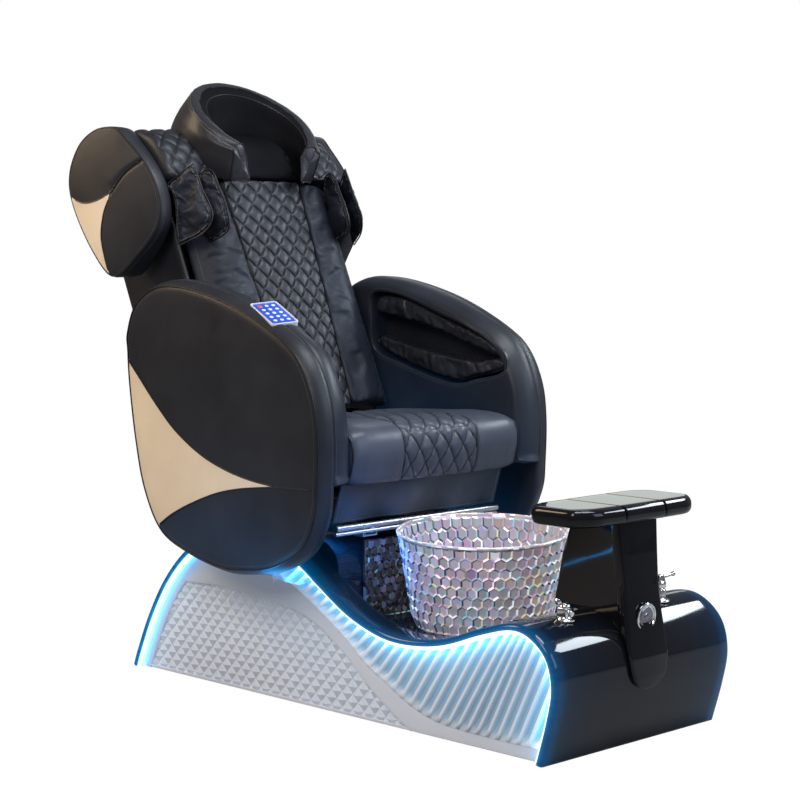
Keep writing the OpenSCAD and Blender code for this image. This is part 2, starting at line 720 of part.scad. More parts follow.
module back_pad() color(leather) on_back() loft([for (k = [-1 : back_rows + 1])
    let (end = k < 0 || k > back_rows, u = min(max(k, 0), back_rows) / back_rows
            * (pad_height - 10) + 5 + (k < 0 ? -4 : k > back_rows ? 4 : 0),
        w = quilt_edge(u) - 0.5 - (end ? 5 : 0))
    concat([for (i = [0 : 14]) let (a = i / 7 - 1, x = a * w,
            edge = abs(a) > 0.99 ? 9 : 0,
            sink = 5 * (1 - diamond(a * 2, k / 7)) + edge + (end ? 10 : 0))
        [x, sink - 4 * (1 - a * a), u]],
        [[w, pad_thick, u], [-w, pad_thick, u]])]);

module back_bolster_right() color(leather) on_back() loft([for (k = [-1 : 11])
    let (end = k < 0 || k > 10, u = 8 + (pad_height - 16) * min(max(k, 0), 10) / 10
            + (k < 0 ? -4 : k > 10 ? 4 : 0),
        outer = -224 + (end ? 10 : 0), inner = -quilt_edge(u) - 0.5 - (end ? 6 : 0),
        front = end ? 10 : 0)
    [for (p = [[inner, pad_thick], [inner, 8], [inner - 10, -2], [inner * 0.6 + outer * 0.4, -3],
        [inner * 0.25 + outer * 0.75, 8], [outer + 6, 20], [outer - 12, 34], [outer - 26, pad_thick]])
        [p[0], p[1] + (p[1] < 40 ? front : 0), u]]]);
module back_bolster_left() mirrored() back_bolster_right();

// Crowned shoulder block that carries the pillow
shoulder_loop = ring([
    [0, 600], [-4, 640], [14, 700], [60, 752], [140, 778], [230, 768], [292, 730],
    [back_depth - 2, 670], [back_depth - 2, 604], [220, 600], [120, 600], [50, 600]
], 2);
shoulder_half = 283.6;
module shoulder_form(grow = 0)
    loft([for (s = [[-shoulder_half, 30], [-shoulder_half + 5, 8], [-shoulder_half + 22, 0],
        [-190, -4], [-120, -2], [-60, 2], [0, 4], [60, 2], [120, -2], [190, -4],
        [shoulder_half - 22, 0], [shoulder_half - 5, 8], [shoulder_half, 30]])
        [for (p = drawn_in(shoulder_loop, s[1] - grow))
            [s[0] * (1 + grow / shoulder_half), p[0], max(p[1], 600 - grow)]]]);
module shoulder_pad() color(leather) on_back() shoulder_form();

// Rear cover, open to the front, with rounded corners
module shell_plan(d) offset(r = 30 - d) polygon([
    [-back_half + 30, 62 - 60], [back_half - 30, 62 - 60],
    [back_half - 30, back_depth - 30], [-back_half + 30, back_depth - 30]
]);
module back_shell() color(leather) on_back() difference() {
    translate([0, 0, 60]) linear_extrude(538) shell_plan(0);
    translate([0, 0, 66]) linear_extrude(526) shell_plan(6);
    box(-400, 400, -60, 62, 0, 700);
    box(-80, 80, 100, 240, 50, 70);
    for (side = [-1, 1]) {
        box(side * 229.5 - 6, side * 229.5 + 6, 60, 204, 50, 70);
        translate([side * guide_x, guide_v, 50]) cylinder(r = 17, h = 20);
    }
}

// Tube frame with the two guide rails of the massage carriage and the pivot lugs
guide_x = 160;
guide_v = 175;
module back_frame() color(steel) on_back() difference() {
    union() {
        for (side = [-1, 1]) {
            translate([side * guide_x, guide_v, 20]) cylinder(r = 11, h = 560);
            box(side * 229.5 - 5, side * 229.5 + 5, 70, 200, -36, 72);
            box(side * 229.5 - 5, side * 229.5 + 5, 160, 200, 70, 590);
            for (u = [90, 560]) box(side * 240 - 12, side * 240 + 12, 70, 164, u, u + 26);
        }
        for (u = [20, 560]) {
            tube(0, -228, 228, 155, 215, u, u + 30);
            translate([0, screw_v, u]) cylinder(r = 18, h = 30);
            for (side = [-1, 1]) translate([side * guide_x, guide_v, u]) cylinder(r = 16, h = 30);
        }
        tube(0, -234, 234, 56, 80, 564, 588);
    }
    rod_x(-300, 300, 95, -15, 8 + run_fit);
    translate([0, screw_v, 0]) cylinder(r = 8 + run_fit, h = 600);
}

screw_v = 195;
module lift_screw() color(chrome) on_back() translate([0, screw_v, 24]) {
    cylinder(r = 8, h = 556);
    translate([0, 0, 30]) for (i = [0 : 24]) translate([0, 0, i * 20])
        cylinder(r1 = 10, r2 = 8, h = 6);
}

lift_rest = 240;
arm_v = 140;
module on_carriage() on_back() translate([0, 0, lift_rest]) children();

module massage_carriage() color(plastic_grey) on_carriage() difference() {
    union() {
        box(-185, 185, 158, 192, -35, 35);
        box(-45, 45, 160, 230, -45, 45);
        for (side = [-1, 1]) for (s = [-1, 1])
            box(side * 60 + s * 20 - 5, side * 60 + s * 20 + 5, arm_v - 18, 160, -18, 18);
        translate([60, 210, -30]) cylinder(r = 22, h = 70);
    }
    for (side = [-1, 1]) translate([side * guide_x, guide_v, -60])
        cylinder(r = 11 + run_fit, h = 120);
    translate([0, screw_v, -60]) cylinder(r = 10.3, h = 120);
    rod_x(-120, 120, arm_v, 0, 6);
}

roller_v = 52 + roller_r + 6;
roller_u = 52;
module roller_arm_right() color(steel) on_carriage() translate([-60, 0, 0]) difference() {
    union() {
        for (s = [-1, 1]) hull() {
            translate([-3, roller_v, s * roller_u]) rotate([0, 90, 0]) cylinder(r = 9, h = 6,
                $fn = 32);
            translate([-3, arm_v, 0]) rotate([0, 90, 0]) cylinder(r = 14, h = 6, $fn = 32);
        }
        rod_x(-25 - gap, 25 + gap, arm_v, 0, 6 - run_fit);
        for (s = [-1, 1]) rod_x(-26, 26, roller_v, s * roller_u, 4);
    }
}
module roller_arm_left() mirrored() roller_arm_right();

// Pair of soft tyres on one axle of a roller arm
module roller_right(s) color([0.75, 0.70, 0.60]) on_carriage() for (t = [-1, 1])
    translate([-60 + t * 15 - 9, roller_v, s * roller_u]) rotate([0, 90, 0])
        rotate_extrude() polygon([[4 + run_fit, 0], [roller_r - 5, 0], [roller_r, 5],
            [roller_r, 13], [roller_r - 5, 18], [4 + run_fit, 18]]);
module roller_upper_right() roller_right(1);
module roller_upper_left() mirrored() roller_right(1);
module roller_lower_right() roller_right(-1);
module roller_lower_left() mirrored() roller_right(-1);

// ---------- shoulder wings ----------

wing_loop = ring([
    [12, 600], [13, 545], [30, 498], [69, 467], [121, 445], [181, 424], [214, 440],
    [239, 506], [255, 582], [261, 651], [254, 701], [230, 744], [187, 779], [132, 787],
    [80, 764], [55, 718], [28, 658]
], 2);
wing_insert_shape = concat(
    curve([[320, 720], [260, 664], [222, 631], [177, 619], [141, 621]]),
    curve([[150, 606], [175, 578], [200, 524], [209, 437], [210, 400]]), [[320, 400]]
);
wing_splay = 0.25;       // how far the face turns outwards for each mm towards the rear
wing_front = wing_half - 260 * wing_splay;
wing_mid = [136, 610];
wing_in = shoulder_half + 0.8 - wing_front;
module wing_body() loft([for (s = [[7, 0.55, 1], [5, 0.84, 1], [0, 0.975, 1], [-8, 1, 1],
        [-20, 1, 0.6], [wing_in + 4, 0.99, 0.2], [wing_in, 0.95, 0]])
    [for (p = wing_loop) let (q = wing_mid + s[1] * (p - wing_mid))
        [-wing_front - s[0] - wing_splay * s[2] * q[0], q[0], q[1]]]]);
module wing_prism(shrink) across(-wing_half - 60, -wing_front + 10)
    offset(delta = -shrink) polygon(wing_insert_shape);
module wing_right() color(leather) on_back() union() {
    difference() {
        wing_body();
        wing_prism(0);
    }
    rod_x(-shoulder_half - 12, -back_half - gap, 150, 530, 55);
}
module wing_left() mirrored() wing_right();
module wing_insert_right() color(beige) on_back() intersection() {
    wing_body();
    wing_prism(0.3);
}
module wing_insert_left() mirrored() wing_insert_right();

// Leaf-shaped air cushions that close round the shoulders
module leaf(turn, at) translate(at) rotate([14, 0, turn]) loft([for (k = [0 : 8])
    let (u = k * 23.5, w = [36, 45, 50, 51, 50, 48, 43, 33, 14][k],
        t = [5, 9, 12, 13, 13, 12, 10, 8, 4][k])
    [for (a = [0 : 30 : 330]) [t * cos(a), w * sin(a), u]]]);
module shoulder_airbags_right() color(leather) on_back() {
    leaf(24, [-268, -2, 430]);
    difference() {
        leaf(10, [-196, -4, 434]);
        box(-260, -120, -7.8, 60, 400, 620);
    }
}
module shoulder_airbags_left() mirrored() shoulder_airbags_right();

// ---------- head pillow ----------

// The collar leans forwards: its seams follow ovals whose height grows towards the rear
rim_rear = [540, 130];
function oval(rx, cy, ry, a, z) = [rx * sin(a), cy + ry * cos(a), z];
function rim_z(y) = 1274 + 0.78 * (y - 454);
module collar() loft([for (k = [-11 : 11])
    let (a = k / 11 * 132, lift = (1 + cos(a)) / 2,
        tip = abs(k) == 11 ? 0.5 : abs(k) == 10 ? 0.84 : 1,
        ty = rim_rear[0] + rim_rear[1] * cos(a), iy = 530 + 103 * cos(a),
        top = oval(collar_r - 10, rim_rear[0], rim_rear[1], a, rim_z(ty)),
        wide = oval(collar_r, 592 - 40 * (1 - lift), collar_r - 20, a, 1240 + 100 * lift),
        foot = oval(collar_r - 14, 585 - 14 * (1 - lift), collar_r - 36, a, 1174 + 104 * lift),
        heel = oval(112, 533, 110, a, 1176 + 90 * lift),
        inner = oval(116, 533, 100, a, 1240 + 80 * lift),
        rim = oval(134, 530, 103, a, rim_z(iy) - 2),
        loop = ring([foot, wide, top, rim, inner, heel], 2), mid = mean(loop))
    [for (p = loop) mid + tip * (p - mid)]]);
module head_pillow() color(leather) difference() {
    collar();
    on_back() shoulder_form(0.2);
}

base_frame();
levelling_feet();
base_shell();
side_panel_left();
side_panel_right();
diamond_panel_left();
diamond_panel_right();
led_strip_left();
led_strip_right();
bowl();
bowl_drain();
drain_stopper();
crystal_panel();
footrest_post();
post_badge();
footrest_pad();
mixer_body();
mixer_cap();
mixer_lever();
spray_socket();
hand_spray();
drain_pump();
control_box();
slide_rails();
cross_bars();
seat_frame();
seat_motors();
recline_pins();
seat_cushion();
seat_flap();
arm_left();
arm_right();
arm_insert_left();
arm_insert_right();
arm_airbags_left();
arm_airbags_right();
keypad_case();
key_mat();
power_key();
back_frame();
back_shell();
back_pad();
back_bolster_left();
back_bolster_right();
shoulder_pad();
wing_left();
wing_right();
wing_insert_left();
wing_insert_right();
shoulder_airbags_left();
shoulder_airbags_right();
head_pillow();
massage_carriage();
lift_screw();
roller_arm_left();
roller_arm_right();
roller_upper_left();
roller_upper_right();
roller_lower_left();
roller_lower_right();
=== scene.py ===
import json
import math
import random

import bmesh
import bpy
from mathutils import Matrix, Vector, noise
from mathutils.bvhtree import BVHTree

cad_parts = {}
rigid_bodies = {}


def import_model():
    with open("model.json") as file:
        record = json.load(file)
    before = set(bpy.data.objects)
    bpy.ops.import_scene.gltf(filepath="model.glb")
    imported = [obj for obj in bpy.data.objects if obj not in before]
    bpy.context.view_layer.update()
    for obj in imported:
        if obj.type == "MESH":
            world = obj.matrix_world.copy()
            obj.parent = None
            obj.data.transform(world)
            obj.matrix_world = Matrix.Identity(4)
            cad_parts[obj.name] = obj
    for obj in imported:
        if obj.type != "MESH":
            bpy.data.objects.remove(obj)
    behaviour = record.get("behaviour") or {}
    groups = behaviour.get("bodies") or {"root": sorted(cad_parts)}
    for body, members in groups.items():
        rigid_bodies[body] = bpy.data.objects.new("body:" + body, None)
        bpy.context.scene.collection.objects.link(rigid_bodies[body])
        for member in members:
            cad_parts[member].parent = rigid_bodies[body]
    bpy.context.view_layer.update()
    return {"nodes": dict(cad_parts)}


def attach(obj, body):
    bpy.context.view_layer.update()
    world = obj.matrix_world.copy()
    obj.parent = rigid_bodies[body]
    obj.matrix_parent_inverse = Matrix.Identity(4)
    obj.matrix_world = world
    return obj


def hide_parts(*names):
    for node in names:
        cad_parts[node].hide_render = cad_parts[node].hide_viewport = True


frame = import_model()
mm = 0.001
print("frame loaded:", len(frame["nodes"]), "nodes")

# ---- camera, light and floor ----

stageSettings = {
    "cameraPlace": (-3.22, -3.228, 1.05), "cameraTurn": -44.7, "focal": 1984, "horizon": 160,
    "floorSize": 14, "worldLight": 0.16, "floorWhite": 0.9, "floorGlow": 1.1,
}


def placeCamera(s):
    data = bpy.data.cameras.new("camera")
    cam = bpy.data.objects.new("camera", data)
    bpy.context.collection.objects.link(cam)
    data.sensor_width = 36
    data.lens = 36 * s["focal"] / 800
    cam.location = s["cameraPlace"]
    cam.rotation_euler = (math.pi / 2 - math.atan(s["horizon"] / s["focal"]), 0,
                          math.radians(s["cameraTurn"]))
    bpy.context.scene.camera = cam


def areaLight(name, place, aim, size, power, color, hidden=False):
    data = bpy.data.lights.new(name, "AREA")
    data.shape = "RECTANGLE"
    data.size, data.size_y = size
    data.energy = power
    data.color = color
    lamp = bpy.data.objects.new(name, data)
    lamp.location = place
    lamp.rotation_euler = (Vector(aim) - Vector(place)).to_track_quat("-Z", "Y").to_euler()
    lamp.visible_camera = False
    lamp.visible_glossy = not hidden
    bpy.context.collection.objects.link(lamp)


def nodeTree(name):
    material = bpy.data.materials.new(name)
    material.use_nodes = True
    tree = material.node_tree
    return material, tree, tree.nodes["Principled BSDF"]


def cameraShare(tree):
    # 1 where the camera looks straight or through glass, 0 for every other ray
    path = tree.nodes.new("ShaderNodeLightPath")
    either = tree.nodes.new("ShaderNodeMath")
    either.operation = "MAXIMUM"
    tree.links.new(path.outputs["Is Camera Ray"], either.inputs[0])
    tree.links.new(path.outputs["Is Transmission Ray"], either.inputs[1])
    return either.outputs[0]


def mixShaders(tree, share, first, second, end):
    mix = tree.nodes.new("ShaderNodeMixShader")
    for source, socket in ((share, "Fac"), (first, 1), (second, 2)):
        tree.links.new(source, mix.inputs[socket])
    tree.links.new(mix.outputs["Shader"], tree.nodes[end].inputs["Surface"])


def bothSides(make, s):
    for side, name in ((-1, "right"), (1, "left")):
        make(s, side, name)


def objectFrom(name, bm):
    mesh = bpy.data.meshes.new(name)
    bm.to_mesh(mesh)
    bm.free()
    obj = bpy.data.objects.new(name, mesh)
    bpy.context.collection.objects.link(obj)
    return obj


def makeFloor(s):
    bm = bmesh.new()
    bmesh.ops.create_grid(bm, x_segments=1, y_segments=1, size=s["floorSize"] / 2)
    floor = objectFrom("floor", bm)
    material, tree, shader = nodeTree("paleFloor")
    shader.inputs["Base Color"].default_value = (0.3, 0.3, 0.3, 1)
    shader.inputs["Roughness"].default_value = 0.7
    white = tree.nodes.new("ShaderNodeEmission")
    white.inputs["Strength"].default_value = s["floorGlow"]
    share = tree.nodes.new("ShaderNodeMath")
    share.operation = "MULTIPLY"
    share.inputs[1].default_value = s["floorWhite"]
    tree.links.new(cameraShare(tree), share.inputs[0])
    mixShaders(tree, share.outputs[0], shader.outputs["BSDF"], white.outputs["Emission"],
               "Material Output")
    floor.data.materials.append(material)


def makeWorld(s):
    world = bpy.data.worlds.new("studio")
    bpy.context.scene.world = world
    world.use_nodes = True
    tree = world.node_tree
    lit = tree.nodes["Background"]
    lit.inputs["Color"].default_value = (1, 1, 1, 1)
    lit.inputs["Strength"].default_value = s["worldLight"]
    seen = tree.nodes.new("ShaderNodeBackground")
    seen.inputs["Color"].default_value = (1, 1, 1, 1)
    seen.inputs["Strength"].default_value = 1
    mixShaders(tree, cameraShare(tree), lit.outputs["Background"], seen.outputs["Background"],
               "World Output")


placeCamera(stageSettings)
makeFloor(stageSettings)
makeWorld(stageSettings)
areaLight("keyLight", (-3.0, -1.2, 3.0), (0, 0, 0.6), (1.2, 1.8), 66, (1, 0.95, 0.9))
areaLight("warmLight", (-2.3, 2.4, 2.7), (0, 0.2, 0.8), (1.0, 1.6), 56, (1, 0.74, 0.48))
areaLight("frontLight", (1.2, -4.0, 2.5), (0, -0.2, 0.6), (2.6, 2.2), 74, (0.66, 0.80, 1))
areaLight("topLight", (0.2, -1.3, 4.0), (0, -0.1, 0.5), (2.4, 1.2), 125, (0.88, 0.94, 1))
areaLight("rimLight", (3.0, 2.6, 2.8), (0, 0.2, 0.9), (1.4, 1.2), 9, (0.9, 0.94, 1))
areaLight("windowLight", (2.3, -1.1, 2.15), (0, -0.65, 0.3), (1.9, 0.4), 50, (0.82, 0.91, 1))
areaLight("gardenLight", (2.7, 1.65, 0.95), (0, -0.6, 0.5), (0.9, 0.4), 1.1, (0.92, 1, 0.95))
areaLight("deckSpill", (-0.2, 0.02, 0.37), (0.1, 0.0, 0.2), (0.3, 0.03), 1.6,
          (0.02, 0.32, 1), True)
areaLight("armSpill", (-0.33, 0.1, 0.27), (-0.35, 0.1, 0.5), (0.06, 0.7), 0.9, (0.02, 0.4, 1))
areaLight("bandSpill", (-0.34, -0.3, 0.4), (-0.33, -0.08, 0.54), (0.06, 0.2), 0.4,
          (0.03, 0.32, 1), True)
bpy.context.scene.view_settings.view_transform = "Standard"
print("camera, floor and lights placed")

# ---- curves and forms ----


def smooth(points, steps, closed=False):
    # a curve through every point, with that many steps between neighbours
    n = len(points)
    out = []
    for i in range(n if closed else n - 1):
        if closed:
            a, b, c, d = (points[(i + k - 1) % n] for k in range(4))
        else:
            a, b, c, d = (points[min(max(i + k - 1, 0), n - 1)] for k in range(4))
        for j in range(steps):
            t = j / steps
            out.append(tuple(0.5 * (2 * q + (r - p) * t + (2 * p - 5 * q + 4 * r - s) * t * t
                                    + (3 * q - p - 3 * r + s) * t ** 3)
                             for p, q, r, s in zip(a, b, c, d)))
    return out if closed else out + [tuple(points[-1])]


def beside(curve, d):
    # the open curve moved sideways by d, to the left of its run
    out = []
    for i, p in enumerate(curve):
        a, b = curve[max(i - 1, 0)], curve[min(i + 1, len(curve) - 1)]
        n = math.hypot(b[0] - a[0], b[1] - a[1]) or 1
        out.append((p[0] - d * (b[1] - a[1]) / n, p[1] + d * (b[0] - a[0]) / n))
    return out


def drawnIn(curve, d):
    # the closed curve drawn in by d
    n = len(curve)
    area = sum(curve[i][0] * curve[(i + 1) % n][1] - curve[(i + 1) % n][0] * curve[i][1]
               for i in range(n))
    s = 1 if area > 0 else -1
    out = []
    for i, p in enumerate(curve):
        a, b = curve[i - 1], curve[(i + 1) % n]
        m = math.hypot(b[0] - a[0], b[1] - a[1]) or 1
        out.append((p[0] - s * d * (b[1] - a[1]) / m, p[1] + s * d * (b[0] - a[0]) / m))
    return out


def lengths(curve):
    out = [0.0]
    for a, b in zip(curve, curve[1:]):
        out.append(out[-1] + math.dist(a, b))
    return out


def walk(curve, count, closed=False):
    # count points at equal steps along the curve
    line = list(curve) + ([curve[0]] if closed else [])
    far = lengths(line)
    out, k = [], 0
    for i in range(count):
        s = far[-1] * i / (count if closed else count - 1)
        while k < len(far) - 2 and far[k + 1] < s:
            k += 1
        t = (s - far[k]) / ((far[k + 1] - far[k]) or 1)
        out.append(tuple(a + (b - a) * t for a, b in zip(line[k], line[k + 1])))
    return out


def closedLine(points, count, steps=8):
    # count points at equal steps along the smooth closed curve through the points
    return walk(smooth(points, steps, closed=True), count, closed=True)


def unbroken(path, least):
    # a stretch of a closed line, begun after its jump where that is longer than least
    gap = max(range(len(path) - 1), key=lambda i: math.dist(path[i], path[i + 1]))
    if math.dist(path[gap], path[gap + 1]) > least:
        return path[gap + 1:] + path[:gap + 1]
    return path


def atX(x, line):
    return [(x, p[0], p[1]) for p in line]


def middle(line):
    return tuple(sum(p[k] for p in line) / len(line) for k in (0, 1))


def scaled(mid, p, f, g=None):
    # p moved towards mid, or away from it, to the share f of its distance
    return mid[0] + (p[0] - mid[0]) * f, mid[1] + (p[1] - mid[1]) * (f if g is None else g)


def table(x, rows):
    # value at x of a table of (x, value) pairs in rising order
    if x <= rows[0][0]:
        return rows[0][1]
    for (a, p), (b, q) in zip(rows, rows[1:]):
        if x <= b:
            return p + (q - p) * (x - a) / (b - a)
    return rows[-1][1]


def ease(a, b, x):
    t = min(max((x - a) / (b - a), 0), 1)
    return t * t * (3 - 2 * t)


def formGrid(nu, nv, place, closed=False):
    # a grid whose every corner (u, v) goes to place(u, v), in millimetres
    bm = bmesh.new()
    bmesh.ops.create_grid(bm, x_segments=nu, y_segments=nv, size=0.5)
    # further values of a spot go to the corner attributes seam and groove: the leathers read seam
    # as painted shade, the plastics read seam as painted glow and groove as painted shade in
    # troughs; honeycomb keeps column and row numbers in them
    layers = [bm.verts.layers.float.new(kind) for kind in ("seam", "groove")]
    for v in bm.verts:
        spot = place(min(max(v.co.x + 0.5, 0), 1), min(max(v.co.y + 0.5, 0), 1))
        v.co = Vector(spot[:3]) * mm
        for layer, value in zip(layers, spot[3:]):
            v[layer] = value
    if closed:
        bmesh.ops.remove_doubles(bm, verts=bm.verts, dist=0.00002)
    return bm


def ringForm(rings, cap=True):
    # closed rings of equal counts, one after another, joined into a skin
    n, m = len(rings[0]), len(rings)
    bm = formGrid(n, m - 1, lambda u, v: rings[round(v * (m - 1))][round(u * n) % n],
                  closed=True)
    if cap:
        ends = [e for e in bm.edges if e.is_boundary]
        if ends:
            made = bmesh.ops.holes_fill(bm, edges=ends, sides=0)["faces"]
            bmesh.ops.triangulate(bm, faces=made)
    bmesh.ops.recalc_face_normals(bm, faces=bm.faces)
    return bm


def turned(profile, segments, place, turn=None):
    # a profile of (radius, height) in millimetres spun round z
    bm = bmesh.new()
    line = [bm.verts.new((max(r, 0.0001) * mm, 0, z * mm)) for r, z in profile]
    edges = [bm.edges.new(p) for p in zip(line, line[1:])]
    bmesh.ops.spin(bm, geom=line + edges, axis=(0, 0, 1), cent=(0, 0, 0), steps=segments,
                   angle=2 * math.pi, use_merge=True)
    bmesh.ops.remove_doubles(bm, verts=bm.verts, dist=0.000002)
    bmesh.ops.recalc_face_normals(bm, faces=bm.faces)
    if turn is not None:
        bmesh.ops.transform(bm, matrix=turn, verts=bm.verts)
    bmesh.ops.translate(bm, vec=Vector(place) * mm, verts=bm.verts)
    return bm


def joinForms(forms):
    bm = bmesh.new()
    for f in forms:
        mesh = bpy.data.meshes.new("part")
        f.to_mesh(mesh)
        f.free()
        bm.from_mesh(mesh)
        bpy.data.meshes.remove(mesh)
    return bm


def lookingOut(bm, side):
    # an open sheet's faces turned to look away from the middle plane
    bmesh.ops.recalc_face_normals(bm, faces=bm.faces)
    if sum(f.normal.x * f.calc_area() for f in bm.faces) * side < 0:
        bmesh.ops.reverse_faces(bm, faces=bm.faces)


def bevelled(bm, edges, width, segments):
    bmesh.ops.bevel(bm, geom=edges, offset=width * mm, segments=segments, affect="EDGES",
                    profile=0.5, material=-1)


def softened(bm, corners):
    bmesh.ops.smooth_vert(bm, verts=corners, factor=0.5, use_axis_x=True, use_axis_y=True,
                          use_axis_z=True)


def newPiece(name, bm, material, body, replaced=(), sharp=40, flat=False):
    obj = objectFrom(name, bm)
    mesh = obj.data
    mesh.materials.append(material)
    if not flat:
        mesh.shade_smooth()
        if sharp:
            mesh.set_sharp_from_angle(angle=math.radians(sharp))
    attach(obj, body)
    if replaced:
        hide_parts(*replaced)
    return obj


def applied(obj, *modifiers):
    # modifiers given as (type, {setting: value}), applied in turn
    for kind, settings in modifiers:
        m = obj.modifiers.new(kind.lower(), kind)
        for key, value in settings.items():
            setattr(m, key, value)
        with bpy.context.temp_override(object=obj, active_object=obj, selected_objects=[obj]):
            bpy.ops.object.modifier_apply(modifier=m.name)


def prismTool(outline, x0, x1, turn=None):
    # a cutter with the (y, z) outline from x0 to x1, each corner taken through turn
    bm = bmesh.new()
    face = bm.faces.new([bm.verts.new((x0 * mm, y * mm, z * mm)) for y, z in outline])
    grown = bmesh.ops.extrude_face_region(bm, geom=[face])["geom"]
    bmesh.ops.translate(bm, vec=((x1 - x0) * mm, 0, 0),
                        verts=[v for v in grown if isinstance(v, bmesh.types.BMVert)])
    if turn:
        for v in bm.verts:
            v.co = Vector(turn(*(v.co / mm))) * mm
    bmesh.ops.recalc_face_normals(bm, faces=bm.faces)
    return objectFrom("tool", bm)


def cutBy(obj, tool, operation):
    applied(obj, ("BOOLEAN", {"operation": operation, "solver": "EXACT", "object": tool}))


# ---- materials ----


def attributeOf(tree, name):
    node = tree.nodes.new("ShaderNodeAttribute")
    node.attribute_name = name
    return node.outputs["Fac"]


def addBump(tree, shader, height, strength, distance, before=None):
    bump = tree.nodes.new("ShaderNodeBump")
    bump.inputs["Strength"].default_value = strength
    bump.inputs["Distance"].default_value = distance
    tree.links.new(height, bump.inputs["Height"])
    if before:
        tree.links.new(before.outputs["Normal"], bump.inputs["Normal"])
    tree.links.new(bump.outputs["Normal"], shader.inputs["Normal"])
    return bump


def objectNoise(tree, scale, detail, rough=0.55, stretch=None):
    place = tree.nodes.new("ShaderNodeTexCoord")
    tex = tree.nodes.new("ShaderNodeTexNoise")
    tex.inputs["Scale"].default_value = scale
    tex.inputs["Detail"].default_value = detail
    tex.inputs["Roughness"].default_value = rough
    if stretch:
        mapping = tree.nodes.new("ShaderNodeMapping")
        mapping.inputs["Scale"].default_value = stretch
        tree.links.new(place.outputs["Object"], mapping.inputs["Vector"])
        tree.links.new(mapping.outputs["Vector"], tex.inputs["Vector"])
    else:
        tree.links.new(place.outputs["Object"], tex.inputs["Vector"])
    return tex


def colorFrom(tree, fac, stops, target):
    ramp = tree.nodes.new("ShaderNodeValToRGB")
    ramp.color_ramp.elements[0].position = stops[0][0]
    ramp.color_ramp.elements[0].color = (*stops[0][1], 1)
    ramp.color_ramp.elements[1].position = stops[-1][0]
    ramp.color_ramp.elements[1].color = (*stops[-1][1], 1)
    for at, color in stops[1:-1]:
        ramp.color_ramp.elements.new(at).color = (*color, 1)
    tree.links.new(fac, ramp.inputs["Fac"])
    tree.links.new(ramp.outputs["Color"], target)
    return ramp


def spanned(tree, shader, tex, low, high, socket="Roughness"):
    # the texture's range stretched to low ... high, into one input of the shader
    span = tree.nodes.new("ShaderNodeMapRange")
    span.inputs["To Min"].default_value = low
    span.inputs["To Max"].default_value = high
    tree.links.new(tex.outputs["Fac"], span.inputs["Value"])
    tree.links.new(span.outputs["Result"], shader.inputs[socket])


def leather(name, dark, light, rough=(0.34, 0.5), grain=0.22, creases=0, sheen=0.3):
    # grained leather, darkened by the attribute seam as painted shade in sewn creases and folds,
    # and with the lamps' blue glow painted on from below by the attribute lamp
    material, tree, shader = nodeTree(name)
    broad = objectNoise(tree, 7, 4)
    deep = tree.nodes.new("ShaderNodeMix")
    deep.data_type = "RGBA"
    deep.inputs["B"].default_value = (0.0015, 0.0015, 0.002, 1)
    tree.links.new(attributeOf(tree, "seam"), deep.inputs["Factor"])
    colorFrom(tree, broad.outputs["Fac"], [(0.3, dark), (0.72, light)], deep.inputs["A"])
    tree.links.new(deep.outputs["Result"], shader.inputs["Base Color"])
    spanned(tree, shader, objectNoise(tree, 26, 3), *rough)
    place = tree.nodes.new("ShaderNodeTexCoord")
    cells = tree.nodes.new("ShaderNodeTexVoronoi")
    cells.feature = "SMOOTH_F1"
    cells.inputs["Scale"].default_value = 620
    tree.links.new(place.outputs["Object"], cells.inputs["Vector"])
    first = addBump(tree, shader, cells.outputs["Distance"], grain, 0.0006)
    if creases:
        folds = objectNoise(tree, 30, 2, 0.5, (1, 1, 0.35))
        folds.inputs["Distortion"].default_value = 1.2
        addBump(tree, shader, folds.outputs["Fac"], creases, 0.004, first)
    tree.links.new(attributeOf(tree, "lamp"), shader.inputs["Emission Strength"])
    shader.inputs["Emission Color"].default_value = (0.0, 0.26, 0.75, 1)
    shader.inputs["Specular IOR Level"].default_value = sheen
    return material


def glossyPlastic(name, dark, light, rough, coat, waves):
    material, tree, shader = nodeTree(name)
    broad = objectNoise(tree, 4, 4)
    colorFrom(tree, broad.outputs["Fac"], [(0.3, dark), (0.75, light)],
              shader.inputs["Base Color"])
    spanned(tree, shader, objectNoise(tree, 60, 4), *rough)
    addBump(tree, shader, objectNoise(tree, 9, 1).outputs["Fac"], waves, 0.004)
    shader.inputs["Specular IOR Level"].default_value = 0.2
    shader.inputs["Coat Weight"].default_value = coat
    shader.inputs["Coat Roughness"].default_value = 0.03
    return material


def lampTint(material, crest, groove, shade):
    # painted light from the lamps beside a plastic, by the attributes on its corners: a glow of
    # crest or groove colour as strong as seam, and painted shade in the grooves, the base colour
    # multiplied by shade
    tree = material.node_tree
    shader = tree.nodes["Principled BSDF"]
    inGroove = attributeOf(tree, "groove")
    plain = shader.inputs["Base Color"].links[0].from_socket
    for socket, second, blend in ((shader.inputs["Base Color"], shade, "MULTIPLY"),
                                  (shader.inputs["Emission Color"], groove, "MIX")):
        mix = tree.nodes.new("ShaderNodeMix")
        mix.data_type = "RGBA"
        mix.blend_type = blend
        mix.inputs["A"].default_value = (*crest, 1)
        mix.inputs["B"].default_value = (*second, 1)
        tree.links.new(inGroove, mix.inputs["Factor"])
        if blend == "MULTIPLY":
            tree.links.new(plain, mix.inputs["A"])
        tree.links.new(mix.outputs["Result"], socket)
    tree.links.new(attributeOf(tree, "seam"), shader.inputs["Emission Strength"])


